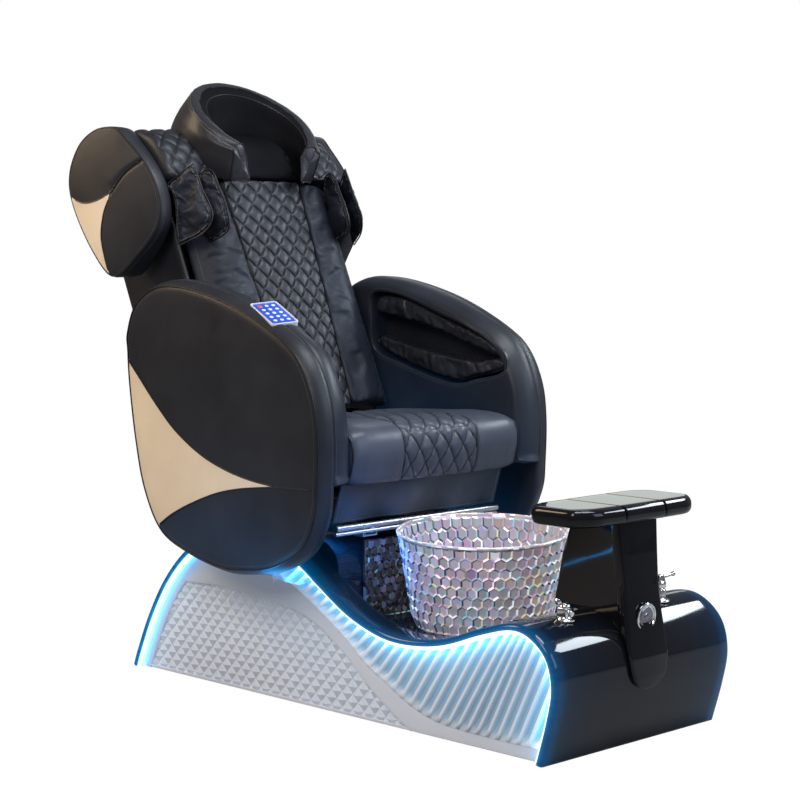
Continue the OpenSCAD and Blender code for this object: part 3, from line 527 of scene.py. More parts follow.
def metal(name, dark, light, rough=(0.06, 0.16), brushed=False):
    material, tree, shader = nodeTree(name)
    shader.inputs["Metallic"].default_value = 1
    tex = objectNoise(tree, 12 if brushed else 40, 4, 0.6, (1, 1, 30) if brushed else None)
    colorFrom(tree, tex.outputs["Fac"], [(0.3, dark), (0.7, light)],
              shader.inputs["Base Color"])
    spanned(tree, shader, objectNoise(tree, 130, 3), *rough)
    addBump(tree, shader, tex.outputs["Fac"], 0.08 if brushed else 0.02, 0.0006)
    return material


def mattePlastic(name, dark, light, rough=(0.45, 0.62), grain=0.12):
    material, tree, shader = nodeTree(name)
    tex = objectNoise(tree, 9, 4)
    colorFrom(tree, tex.outputs["Fac"], [(0.3, dark), (0.7, light)],
              shader.inputs["Base Color"])
    fine = objectNoise(tree, 700, 2)
    spanned(tree, shader, fine, *rough)
    addBump(tree, shader, fine.outputs["Fac"], grain, 0.0004)
    return material


def litLens(name):
    # a bright core that falls to cyan at both edges, by the attribute across the lens
    material, tree, shader = nodeTree(name)
    ramp = colorFrom(tree, attributeOf(tree, "across"),
                     [(0.0, (0.0, 0.05, 0.09)), (0.2, (0.0, 0.07, 0.1)),
                      (0.34, (0.09, 0.1, 0.1)), (0.86, (0.1, 0.1, 0.1)),
                      (1.0, (0.03, 0.09, 0.1))], shader.inputs["Base Color"])
    path = tree.nodes.new("ShaderNodeLightPath")
    hue = tree.nodes.new("ShaderNodeMix")
    hue.data_type = "RGBA"
    hue.inputs["A"].default_value = (0.006, 0.13, 0.3, 1)
    tree.links.new(path.outputs["Is Camera Ray"], hue.inputs["Factor"])
    tree.links.new(ramp.outputs["Color"], hue.inputs["B"])
    tree.links.new(hue.outputs["Result"], shader.inputs["Emission Color"])
    spanned(tree, shader, objectNoise(tree, 5, 2), 13, 16, "Emission Strength")
    shader.inputs["Roughness"].default_value = 0.25
    return material


def facetedGlass(name, transmission, paintedGlow, rough=0.03):
    # each facet takes its own share of the colours, by the attribute on the faces, scaled by its
    # painted brightness and given off again as a painted glow
    material, tree, shader = nodeTree(name)
    scale = tree.nodes.new("ShaderNodeVectorMath")
    scale.operation = "SCALE"
    ramp = colorFrom(tree, attributeOf(tree, "facet"), facetColors, scale.inputs[0])
    ramp.color_ramp.interpolation = "CONSTANT"
    tree.links.new(attributeOf(tree, "paintedFacetLight"), scale.inputs["Scale"])
    tree.links.new(scale.outputs["Vector"], shader.inputs["Base Color"])
    tree.links.new(scale.outputs["Vector"], shader.inputs["Emission Color"])
    shader.inputs["Emission Strength"].default_value = paintedGlow
    spanned(tree, shader, objectNoise(tree, 80, 2), rough, rough + 0.05)
    shader.inputs["Transmission Weight"].default_value = transmission
    shader.inputs["IOR"].default_value = 1.48
    shader.inputs["Thin Film Thickness"].default_value = 420
    shader.inputs["Thin Film IOR"].default_value = 1.8
    shader.inputs["Specular Tint"].default_value = (0.9, 0.85, 1.0, 1)
    return material


blackLeather = leather("blackLeather", (0.012, 0.013, 0.018), (0.022, 0.024, 0.031))
# painted light: the black leather made about three times as light, standing in for the light the
# seat and its curtain catch
seatLeather = leather("seatLeather", (0.036, 0.042, 0.060), (0.060, 0.068, 0.092), (0.3, 0.45))
dullLeather = leather("dullLeather", (0.008, 0.010, 0.016), (0.018, 0.022, 0.034),
                      (0.40, 0.54), 0.25, 0.22, 0.2)
softLeather = leather("softLeather", (0.014, 0.015, 0.021), (0.030, 0.033, 0.042),
                      (0.30, 0.46), 0.25, 0.10)
beigeLeather = leather("beigeLeather", (0.76, 0.63, 0.475), (0.85, 0.72, 0.54), (0.4, 0.55),
                       0.15)
glossShell = glossyPlastic("glossShell", (0.004, 0.004, 0.006), (0.009, 0.009, 0.012),
                           (0.04, 0.09), 0.16, 0.05)
# painted light: a blue glow on the shell near the lamps, by the attribute seam
lampTint(glossShell, (0.0, 0.24, 0.66), (0.0, 0.24, 0.66), (1, 1, 1))
whitePanel = glossyPlastic("whitePanel", (0.68, 0.75, 0.87), (0.75, 0.81, 0.91), (0.16, 0.26),
                           0.25, 0.02)
# painted light: a pale cyan glow on the crests and a deeper cyan glow in the grooves, and painted
# shade darkening the grooves
lampTint(whitePanel, (0.72, 0.93, 1.0), (0.08, 0.66, 1.0), (0.56, 0.68, 0.76))
chrome = metal("chrome", (0.70, 0.70, 0.72), (0.86, 0.86, 0.88))
brushedSteel = metal("brushedSteel", (0.42, 0.42, 0.44), (0.60, 0.60, 0.62), (0.22, 0.36), True)
framePaint = mattePlastic("framePaint", (0.05, 0.05, 0.055), (0.09, 0.09, 0.095), (0.35, 0.5))
darkPlastic = mattePlastic("darkPlastic", (0.02, 0.02, 0.022), (0.045, 0.045, 0.05))
lensGlow = litLens("lensGlow")
# the near-white at 0.48 is the painted highlight for facets facing the upper left; the darker
# purple, blue and teal at 0.60 to 0.80 are the painted shade for facets facing the lower right;
# the rest are the glass's own hues
facetColors = [(0.0, (0.42, 0.40, 0.55)), (0.12, (0.36, 0.38, 0.42)), (0.24, (0.42, 0.35, 0.40)),
               (0.36, (0.48, 0.40, 0.33)), (0.48, (0.90, 0.92, 1.0)), (0.60, (0.20, 0.16, 0.34)),
               (0.70, (0.04, 0.07, 0.15)), (0.80, (0.10, 0.26, 0.30)), (0.86, (0.72, 0.66, 0.40)),
               (0.92, (0.28, 0.54, 0.66)), (0.96, (0.66, 0.38, 0.54))]
bowlGlass = facetedGlass("bowlGlass", 0.3, 0.32)
screenGlass = facetedGlass("screenGlass", 0.1, 0.15, 0.05)
darkChrome = metal("darkChrome", (0.16, 0.16, 0.18), (0.30, 0.30, 0.33), (0.10, 0.2))
blackThread = mattePlastic("blackThread", (0.05, 0.05, 0.055), (0.09, 0.09, 0.10))
greyThread = mattePlastic("greyThread", (0.16, 0.15, 0.15), (0.26, 0.24, 0.22))
pipingLeather = leather("pipingLeather", (0.008, 0.008, 0.010), (0.014, 0.014, 0.017),
                        (0.30, 0.42), 0.1)
softPillow = leather("softPillow", (0.014, 0.014, 0.018), (0.028, 0.028, 0.034), (0.30, 0.42),
                     0.2, 0.06)
# painted shade: near-black leather put on the collar's inner wall and inside its hollow
shadeLeather = leather("shadeLeather", (0.002, 0.002, 0.003), (0.004, 0.004, 0.006),
                       (0.6, 0.75), 0.2, 0.06, 0.08)
keypadWhite = mattePlastic("keypadWhite", (0.62, 0.64, 0.70), (0.72, 0.74, 0.78), (0.3, 0.42),
                           0.05)
keypadBlue = mattePlastic("keypadBlue", (0.012, 0.05, 0.42), (0.02, 0.08, 0.55), (0.3, 0.42),
                          0.05)
keyTop = mattePlastic("keyTop", (0.55, 0.62, 0.80), (0.70, 0.75, 0.88), (0.28, 0.4), 0.05)
keyRed = mattePlastic("keyRed", (0.55, 0.08, 0.03), (0.70, 0.14, 0.06), (0.28, 0.4), 0.05)
rollerTyre = mattePlastic("rollerTyre", (0.45, 0.40, 0.32), (0.58, 0.52, 0.42), (0.5, 0.65), 0.2)
slotNames = {
    "glossShell": "gloss_shell", "whitePanel": "white_panel", "lensGlow": "led_lens",
    "bowlGlass": "bowl_glass", "screenGlass": "crystal_glass", "chrome": "chrome",
    "darkChrome": "chrome", "beigeLeather": "beige_leather", "keypadWhite": "keypad_white",
    "keypadBlue": "key_blue", "keyTop": "key_blue", "keyRed": "key_red",
    **dict.fromkeys(("blackLeather", "seatLeather", "dullLeather", "softLeather",
                     "pipingLeather", "softPillow", "blackThread", "greyThread"),
                    "black_leather"),
}
print("materials made")


def scatterFacets(obj, seed, choose):
    # a colour and a brightness for each facet, as choose(face, random) gives them; the brightness
    # is painted highlight and shade
    spread = random.Random(seed)
    picks = [choose(p, spread) for p in obj.data.polygons]
    for kind, values in zip(("facet", "paintedFacetLight"), zip(*picks)):
        obj.data.attributes.new(kind, "FLOAT", "FACE").data.foreach_set("value", values)


# ---- plinth ----

plinth = {
    "rimStand": 8, "skirt": 9, "lensInner": 268, "lensOuter": 282,
    "lensWidth": 14, "panelX": 267.5, "troughX": 258.0, "glow": (1.6, 11), "haze": (0.26, 80),
    "edge": [(-652, 3), (-678, 90), (-691, 160), (-677, 219), (-635, 257), (-582, 268),
             (-500, 247), (-400, 212), (-320, 197), (-240, 195), (-170, 208), (-90, 238),
             (0, 290), (75, 334), (160, 366), (260, 377), (350, 360), (430, 322), (490, 279),
             (550, 214), (605, 128), (648, 40), (663, 3)],
    "deck": [(-582, 268), (-530, 256), (-492, 232), (-462, 194), (-415, 175), (-340, 174),
             (-240, 174), (-130, 174), (-50, 174), (5, 182), (22, 215), (22, 265), (22, 310),
             (40, 344), (90, 359), (160, 366)],
    "ribFoot": [(170, 304), (80, 262), (-9, 213), (-74, 173), (-137, 127), (-200, 95), (-261, 64),
                (-321, 44), (-380, 34), (-500, 30), (-672, 30)],
    "diamondTop": [(720, 232), (489, 233), (413, 236), (339, 238), (195, 227), (58, 206),
                   (-57, 148), (-153, 74), (-231, 26), (-275, 3)],
    "ribLeans": [(-672, 24), (-500, 27), (-420, 32), (-300, 34), (-225, 36), (-100, 48),
                 (-20, 52), (80, 54), (170, 56)],
}
edgeLine = smooth(plinth["edge"], 10)


def makeShell(s):
    line = edgeLine
    first, last = line.index(tuple(s["edge"][5])), line.index(tuple(s["edge"][14]))
    deck = smooth(s["deck"], 12)
    rim = walk(line[first:last + 1], 150)
    well = walk(deck, 150)
    rimPath = line[:first] + rim + line[last + 1:]
    deckPath = line[:first] + well + line[last + 1:]
    lift = s["rimStand"]
    columns = [(-284, 0, -1.5), (-284, 0, 3), (-283.2, 0, 5.8), (-281, 0, 7.4), (-277, 0, 8),
               (-250, 0, 8), (-228, 0, 8), (-219, 0, 7.4), (-215.8, 0, 5.6), (-214.6, 0, 2),
               (-214.2, 1, 14), (-212.5, 1, 10), (-208, 1, 8), (-150, 1, 8), (-75, 1, 8),
               (0, 1, 8)]
    columns = columns + [(-x, k, o) for x, k, o in reversed(columns[:-1])]
    offsets = {}
    for x, k, o in columns:
        offsets[(k, o)] = beside(deckPath if k else rimPath, o)
    flat = {0: beside(rimPath, lift), 1: beside(deckPath, lift)}
    n = len(rimPath)

    def place(u, v):
        i, c = round(u * (n - 1)), round(v * (len(columns) - 1))
        x, k, o = columns[c]
        p = offsets[(k, o)][i]
        if abs(x) < 230:
            parted = min(math.dist(rimPath[i], deckPath[i]) / 16, 1)
            q = flat[k][i]
            p = (q[0] + (p[0] - q[0]) * parted, q[1] + (p[1] - q[1]) * parted)
        return x, p[0], p[1]
    bm = formGrid(n - 1, len(columns) - 1, place)
    bmesh.ops.recalc_face_normals(bm, faces=bm.faces)
    shell = newPiece("plinthShell", bm, glossShell, "base", ["base_shell"], 50)
    # painted light: blue glow of the lamps on the shell beside the lens
    lampBeside(shell, s, ((1.7, 5), (0.08, 50)))
    applied(shell, ("SOLIDIFY", {"thickness": 0.004, "offset": -1}))


def lampBeside(obj, s, spread, kind="seam"):
    # how much of the lamps' light each corner gets, by its distance from their line
    line = walk(beside(edgeLine, -4), 160)
    x = s["lensOuter"]
    layers = obj.data.attributes
    layer = layers.get(kind) or layers.new(kind, "FLOAT", "POINT")
    for v, share in zip(obj.data.vertices, layer.data):
        p = v.co / mm
        d = math.sqrt(min((q[0] - p.y) ** 2 + (q[1] - p.z) ** 2 for q in line)
                      + (abs(p.x) - x) ** 2)
        share.value = sum(part * math.exp(-d / reach) for part, reach in spread)


def meeting(start, lean, line):
    # where a rib that leaves start at that lean meets the line
    a = math.radians(lean)
    d = (-math.sin(a), math.cos(a))
    best = None
    for p, q in zip(line, line[1:]):
        e = (q[0] - p[0], q[1] - p[1])
        det = d[0] * -e[1] + e[0] * d[1]
        if abs(det) < 1e-9:
            continue
        w = (p[0] - start[0], p[1] - start[1])
        t = (w[0] * -e[1] + e[0] * w[1]) / det
        r = (d[0] * w[1] - d[1] * w[0]) / det
        if t > 1 and -0.001 <= r <= 1.001 and (best is None or t < best):
            best = t
    return (start[0] + d[0] * best, start[1] + d[1] * best) if best else start


def makeSidePanel(s, side, name):
    top = [p for p in beside(edgeLine, s["rimStand"] - 5 - s["lensWidth"] - 0.4) if p[1] > 1]
    foot = smooth(s["ribFoot"], 10)
    ribs, perRib, tall = 32, 12, 14
    starts = walk(foot, ribs * perRib + 1)
    ends = [meeting(p, table(p[0], s["ribLeans"]), top) for p in starts]

    def ribPlace(u, v):
        i = round(u * ribs * perRib)
        a, b = starts[i], ends[i]
        f = (i % perRib) / perRib
        trough = ease(0.0, 0.12, f) * (1 - ease(0.56, 0.74, f))
        far = math.dist(a, b)
        opened = ease(0.0, min(22 / max(far, 1), 0.5), v - abs(f - 0.4) * 5 / max(far, 20))
        x = s["panelX"] + 1.5 - (s["panelX"] + 1.5 - s["troughX"]) * trough * opened
        y, z = a[0] + (b[0] - a[0]) * v, a[1] + (b[1] - a[1]) * v
        near = math.sqrt(min((p[0] - y) ** 2 + (p[1] - z) ** 2 for p in top))
        # painted light: lit is the lamps' glow on the ribs, kept in the attribute seam; trough
        # times opened is painted shade in the troughs, kept in the attribute groove
        lit = sum(share * math.exp(-near / reach) for share, reach in (s["glow"], s["haze"]))
        return side * x, y, z, lit, trough * opened
    ribBand = formGrid(ribs * perRib, tall, ribPlace)
    lookingOut(ribBand, side)

    field = [p for p in beside(edgeLine, s["rimStand"] - 5 - s["lensWidth"] - 22.4) if p[1] > 1]
    crest = smooth(s["diamondTop"], 10)
    rear = [p for p in field if p[0] > 300 and p[1] < table(p[0], sorted(crest))]
    rear.sort(key=lambda p: p[1])
    hill = [p for p in crest if p[0] < rear[-1][0]]
    hill.sort()
    rise = foot[::-1]
    bend = [i for i, p in enumerate(hill) if p[0] > 150][0]
    split = [i for i, p in enumerate(rise) if p[0] > -320][0]
    begun = min(range(len(top)), key=lambda i: math.dist(top[i], ends[0]))
    corner = min(range(len(top)), key=lambda i: math.dist(top[i], hill[-1]))
    sections = [([(-649, 3), hill[0]], [(-672, 28)] + rise[:split + 1], 24),
                (hill[:bend + 1], rise[split:], 60),
                (hill[bend:] + [rear[-1]], [rise[-1]] + top[begun:corner + 1], 50),
                (rear[::-1], top[corner:], 40)]
    inside, outside = [], []
    for first, second, count in sections:
        inside += walk(first, count)[:-1]
        outside += walk(second, count)[:-1]
    inside.append(rear[0])
    outside.append(top[-1])

    def platePlace(u, v):
        a, b = (line[round(u * (len(line) - 1))] for line in (inside, outside))
        return side * s["panelX"], a[0] + (b[0] - a[0]) * v, a[1] + (b[1] - a[1]) * v
    skirt = s["skirt"]
    sheet = joinForms([formGrid(len(inside) - 1, 6, platePlace), formGrid(30, 1, lambda u, v: (
        side * (s["panelX"] - 0.4), -290 + (rear[0][0] + 290) * u + 16 * v * (1 - u),
        3 + (skirt - 3) * v))])
    bmesh.ops.remove_doubles(sheet, verts=sheet.verts, dist=0.00001)
    lookingOut(sheet, side)
    plate = newPiece("sideMoulding_" + name, sheet, whitePanel, "base",
                     ["side_panel_" + name], 30)
    # painted light: cyan glow of the lamps on the moulding
    lampBeside(plate, s, ((0.8, 9), (0.05, 60)))
    applied(plate, ("SOLIDIFY", {"thickness": 0.008, "offset": -1}),
            ("BEVEL", {"width": 0.0012, "segments": 2, "limit_method": "ANGLE",
                       "angle_limit": math.radians(50)}))
    flutes = newPiece("flutes_" + name, ribBand, whitePanel, "base", (), 35)
    applied(flutes, ("SOLIDIFY", {"thickness": 0.003, "offset": -1}))

    studs = bmesh.new()
    bmesh.ops.create_grid(studs, x_segments=44, y_segments=44, size=0.5 * 24.5 * 44 * mm)
    bmesh.ops.poke(studs, faces=studs.faces, offset=0.0088)
    bmesh.ops.rotate(studs, cent=(0, 0, 0), matrix=Matrix.Rotation(math.radians(45), 3, "Z"),
                     verts=studs.verts)
    bmesh.ops.rotate(studs, cent=(0, 0, 0),
                     matrix=Matrix.Rotation(math.radians(90 * side), 3, "Y"), verts=studs.verts)
    bmesh.ops.translate(studs, vec=(side * 0.2585, 0.19, 0.12), verts=studs.verts)
    gone = []
    crestLine = sorted(crest)
    rearLine = sorted((z, y) for y, z in rear)
    for f in studs.faces:
        y, z = f.calc_center_median().y / mm, f.calc_center_median().z / mm
        if z < -14 or z > table(y, crestLine) + 14 or y < -290 or y > table(z, rearLine) + 16:
            gone.append(f)
    bmesh.ops.delete(studs, geom=gone, context="FACES")
    studded = newPiece("studs_" + name, studs, whitePanel, "base",
                       ["diamond_panel_" + name], 0, flat=True)
    bound = [p for p in hill if p[1] > skirt] + [p for p in rear[::-1] if p[1] > skirt]
    bound = [(-262, skirt)] + bound + [(bound[-1][0], skirt)]
    tool = prismTool(bound, side * 240, side * 290)
    applied(studded, ("SOLIDIFY", {"thickness": 0.004, "offset": -1}))
    cutBy(studded, tool, "INTERSECT")
    bpy.data.objects.remove(tool)
    # painted light: cyan glow of the lamps on the studs
    lampBeside(studded, s, ((0.5, 20), (0.06, 150)))

    lens = beside(edgeLine, s["rimStand"] - 5.2)
    inner = beside(edgeLine, s["rimStand"] - 5 - s["lensWidth"])
    count = len(lens) - 1
    section = [(0.0, s["lensInner"]), (0.03, s["lensOuter"] - 2), (0.12, s["lensOuter"] - 0.5),
               (0.5, s["lensOuter"]), (0.88, s["lensOuter"] - 0.5), (0.97, s["lensOuter"] - 2),
               (1.0, s["lensInner"])]

    def lensPlace(u, v):
        i, k = round(u * count), round(v * (len(section) - 1))
        t, x = section[k]
        a, b = lens[i], inner[i]
        return side * x, a[0] + (b[0] - a[0]) * t, a[1] + (b[1] - a[1]) * t
    strip = formGrid(count, len(section) - 1, lensPlace)
    layer = strip.verts.layers.float.new("across")
    for v in strip.verts:
        p = (v.co.y / mm, v.co.z / mm)
        near = min(lens, key=lambda q: (q[0] - p[0]) ** 2 + (q[1] - p[1]) ** 2)
        v[layer] = min(math.dist(p, near) / s["lensWidth"], 1)
    lookingOut(strip, side)
    newPiece("lightLens_" + name, strip, lensGlow, "base", ["led_strip_" + name], 60)


makeShell(plinth)
bothSides(makeSidePanel, plinth)
print("plinth made")

# ---- bowl and the dark screen behind it ----

bowlShape = {
    "place": (0, -237), "foot": 182.2, "height": 224, "footRadius": 140, "flare": 55,
    "around": 46, "rows": 9, "innerRows": 8, "bezel": 4.4, "lift": 2.6, "wall": 7.6, "floor": 8,
    "drain": 21.6, "slant": 0.06, "lean": -0.17,
}


def bowlRadius(s, h):
    t = h / s["height"]
    return s["footRadius"] + s["flare"] * (0.30 * math.sqrt(min(1, 6 * t)) + 0.70 * t)


def honeycomb(across, rows, place):
    # six-sided facets over a surface whose point (u, v) lies at place(u, v)
    def corner(u, v):
        k, r = round(u * 2 * across), round(v * rows)
        sway = (-1) ** (k + r) / 6 if 0 < r < rows else 0
        return (*place(k / (2 * across), (r + sway) / rows), k % (2 * across), r)
    bm = formGrid(2 * across, rows, corner)
    column, row = (bm.verts.layers.float[kind] for kind in ("seam", "groove"))
    bmesh.ops.remove_doubles(bm, verts=bm.verts, dist=0.00002)
    spare = []
    for edge in bm.edges:
        a, b = edge.verts
        odd = (a[column] + min(a[row], b[row])) % 2 == 1
        if a[column] == b[column] and odd and not edge.is_boundary:
            spare.append(edge)
    bmesh.ops.dissolve_edges(bm, edges=spare)
    bmesh.ops.recalc_face_normals(bm, faces=bm.faces)
    return bm


def facetChoice(across, out, lean, side):
    # pale flats, with painted highlight on slopes facing the upper left and painted shade on
    # slopes facing the lower right
    def choose(face, spread):
        n = face.normal
        tilt = lean if n.dot(out(face.center)) > 0 else -lean
        right, rise = n.dot(across(face.center)), n.z - tilt
        if math.hypot(right, rise) < 0.2:
            tone = min(max(0.2 + 0.14 * side(face.center) + spread.gauss(0, 0.09), 0), 0.47)
            if spread.random() < 0.04:
                tone = spread.choice((0.5, 0.65, 0.88, 0.94, 0.98))
            return tone, spread.uniform(0.75, 1.15)
        light = 0.7 * rise - 0.6 * right + spread.gauss(0, 0.14)
        if light > 0.16:
            return spread.choice((0.5, 0.5, 0.05, 0.05, 0.3, 0.4, 0.88, 0.94, 0.98)), 1.2
        if light < -0.14:
            return spread.choice((0.65, 0.75, 0.75, 0.82, 0.15)), 0.8
        return spread.random() * 0.47, 0.8
    return choose


def makeBowl(s):
    x0, y0 = s["place"]
    low, high, top = 10, s["height"] - 9, s["height"]
    hollow = (s["floor"] + 14, top - 8)

    def wall(inward, span):
        def place(u, v):
            h = span[0] + (span[1] - span[0]) * v
            r = bowlRadius(s, h) - inward
            a = 2 * math.pi * u
            return x0 + r * math.cos(a), y0 + r * math.sin(a), s["foot"] + h
        return place
    outer = honeycomb(s["around"], s["rows"], wall(2, (low, high)))
    bmesh.ops.inset_individual(outer, faces=outer.faces[:], thickness=s["bezel"] * mm,
                               depth=s["lift"] * mm)
    inner = honeycomb(s["around"], s["innerRows"], wall(s["wall"], hollow))
    bmesh.ops.inset_individual(inner, faces=inner.faces[:], thickness=s["bezel"] * mm,
                               depth=-s["lift"] * mm)
    rim = bowlRadius(s, high)
    lip = [(rim - 2, high), (rim - 0.6, high + 1), (rim + 0.4, high + 3), (rim + 0.3, high + 6),
           (rim - 1.2, high + 8.2), (rim - 3, top), (rim - 5, top - 0.6), (rim - 6.6, top - 3),
           (bowlRadius(s, hollow[1]) - s["wall"], hollow[1])]
    edge = bowlRadius(s, hollow[0]) - s["wall"]
    base = [(edge, hollow[0]), (edge - 2, s["floor"] + 6), (edge - 6, s["floor"] + 2),
            (edge - 12, s["floor"]), (s["drain"] + 2, s["floor"]), (s["drain"], s["floor"]),
            (s["drain"], 0), (s["footRadius"] - 12, 0), (s["footRadius"] - 3, 2),
            (bowlRadius(s, low) - 2, low)]
    rings = []
    for line in (lip, base):
        def spun(u, v, line=line):
            r, h = line[round(v * (len(line) - 1))]
            a = 2 * math.pi * u
            return x0 + r * math.cos(a), y0 + r * math.sin(a), s["foot"] + h
        ring = formGrid(2 * s["around"], len(line) - 1, spun)
        for face in ring.faces:
            face.smooth = True
        rings.append(ring)
    bm = joinForms([outer, inner] + rings)
    bmesh.ops.remove_doubles(bm, verts=bm.verts, dist=0.0001)
    bmesh.ops.recalc_face_normals(bm, faces=bm.faces)
    for v in bm.verts:
        h = v.co.z / mm - s["foot"]
        away = (v.co.x / mm - x0) * 0.703 + (v.co.y / mm - y0) * 0.711
        v.co.z += away * s["slant"] * max(h, 0) / s["height"] * mm
    piece = newPiece("facetedBowl", bm, bowlGlass, "base", ["bowl"], 0, flat=True)
    axis = Vector((x0, y0, 0)) * mm

    def around(c):
        return Vector((-(c.y - axis.y), c.x - axis.x, 0)).normalized()

    def outward(c):
        return Vector((c.x - axis.x, c.y - axis.y, 0))

    def side(c):
        return (0.711 * (c.x - axis.x) - 0.703 * (c.y - axis.y)) / 0.17
    scatterFacets(piece, 11, facetChoice(around, outward, s["lean"], side))


screenShape = {"half": 135, "front": 2.6, "back": 8, "low": 186.2, "high": 369.8,
               "across": 14, "rows": 10, "bezel": 3.4, "lift": 2}


def makeScreen(s):
    bm = honeycomb(s["across"], s["rows"], lambda u, v: (
        (2 * u - 1) * s["half"], s["front"], s["low"] + (s["high"] - s["low"]) * v))
    if bm.faces[:][0].normal.y > 0:
        bmesh.ops.reverse_faces(bm, faces=bm.faces)
    bmesh.ops.inset_individual(bm, faces=bm.faces[:], thickness=s["bezel"] * mm,
                               depth=s["lift"] * mm)
    rim = [e for e in bm.edges if e.is_boundary]
    grown = bmesh.ops.extrude_edge_only(bm, edges=rim)["geom"]
    for v in (v for v in grown if isinstance(v, bmesh.types.BMVert)):
        v.co.y = s["back"] * mm
    bmesh.ops.holes_fill(bm, edges=[e for e in bm.edges if e.is_boundary], sides=0)
    bmesh.ops.recalc_face_normals(bm, faces=bm.faces)
    choose = facetChoice(lambda c: Vector((1, 0, 0)), lambda c: Vector((0, -1, 0)), 0,
                         lambda c: 0)
    screen = newPiece("facetedScreen", bm, screenGlass, "base",
                      ["crystal_panel"], 0, flat=True)
    # painted glints: the screen's facets are kept near dark, with a bright painted highlight on a
    # rare few
    scatterFacets(screen, 5, lambda face, spread: (
        choose(face, spread)[0], 0.02 + 0.4 * spread.random() ** 6))


makeBowl(bowlShape)
makeScreen(screenShape)
print("bowl and screen made")

# ---- footrest post, badge, pad and taps ----

postShape = {
    "front": [(122, -708), (126, -709.5), (150, -714), (190, -712), (262, -699), (330, -690),
              (400, -682), (470, -676)],
    "back": [(122, -702), (126, -701), (150, -700), (165, -699.5), (195, -697), (230, -680),
             (264, -640), (273, -606), (276, -545), (279, -486), (300, -489), (324, -495),
             (345, -499), (390, -508), (470, -536)],
    "half": [(122, 3), (124, 16), (128, 28), (133, 38), (145, 48.5), (160, 56), (180, 60.5),
             (200, 63), (230, 63.2), (260, 62), (300, 59), (330, 58), (360, 60), (400, 63),
             (440, 65.2), (470, 67)],
    "body": 52, "plate": 22, "corner": 9, "levels": 90,
}


def makePost(s):
    rings = []
    for k in range(s["levels"] + 1):
        z = 122 + 348 * (k / s["levels"]) ** 1.15
        front, back, w = (table(z, s[key]) for key in ("front", "back", "half"))
        deep = back - front
        c = min(s["corner"], w * 0.6, deep * 0.45)
        b = min(s["body"], w)
        plate = min(s["plate"], deep - c)
        half = []
        for i in range(7):
            a = i / 6 * math.pi / 2
            half.append((w - c + c * math.sin(a), front + c - c * math.cos(a)))
        step = front + max(plate * 0.75, c)
        half.append((w, step))
        side = min(front + plate + 8, back - 0.6)
        for i in range(1, 6):
            t = i / 5
            e = t * t * (3 - 2 * t)
            half.append((w + (b - w) * e, step + (side - step) * t))
        r = min(14, max((back - side) * 0.4, 0.2), b * 0.5)
        half.append((b, back - r))
        for i in range(1, 6):
            a = i / 5 * math.pi / 2
            half.append((b - r + r * math.cos(a), back - r + r * math.sin(a)))
        ring = [(0, front)] + half + [(0, back)] + [(-x, y) for x, y in reversed(half)]
        rings.append([(x, y, z) for x, y in ring])
    newPiece("footrestPost", ringForm(rings), glossShell, "base", ["footrest_post"], 35)


badgeShape = {"place": (0, -697.5, 271), "tilt": 94,
              "rim": [(0.01, 0), (29.2, 0), (30, 0.8), (30, 3.6), (29.0, 4.8), (27.6, 5),
                      (26.4, 4.4), (25.6, 2.6), (25, 2.2), (0.01, 2.2)],
              "disc": [(0.01, 3.9), (6.5, 3.9), (7.2, 3.5), (8.0, 2.6), (15.5, 2.6), (16.4, 3.0),
                       (17.6, 3.7), (20.2, 3.7), (21.4, 3.0), (22, 2.0), (22, 1.6)]}


def makeBadge(s):
    turn = Matrix.Rotation(math.radians(s["tilt"]), 4, "X")
    rim = turned(s["rim"], 72, s["place"], turn)
    newPiece("badgeRing", rim, chrome, "base", ["post_badge"], 30)
    disc = turned(s["disc"], 64, s["place"], turn)
    newPiece("badgeDisc", disc, darkChrome, "base", (), 30)


restShape = {"mid": -608, "low": 470, "high": 508, "length": 392, "depth": 184, "corner": 62,
             "groove": 65.3, "round": 14}


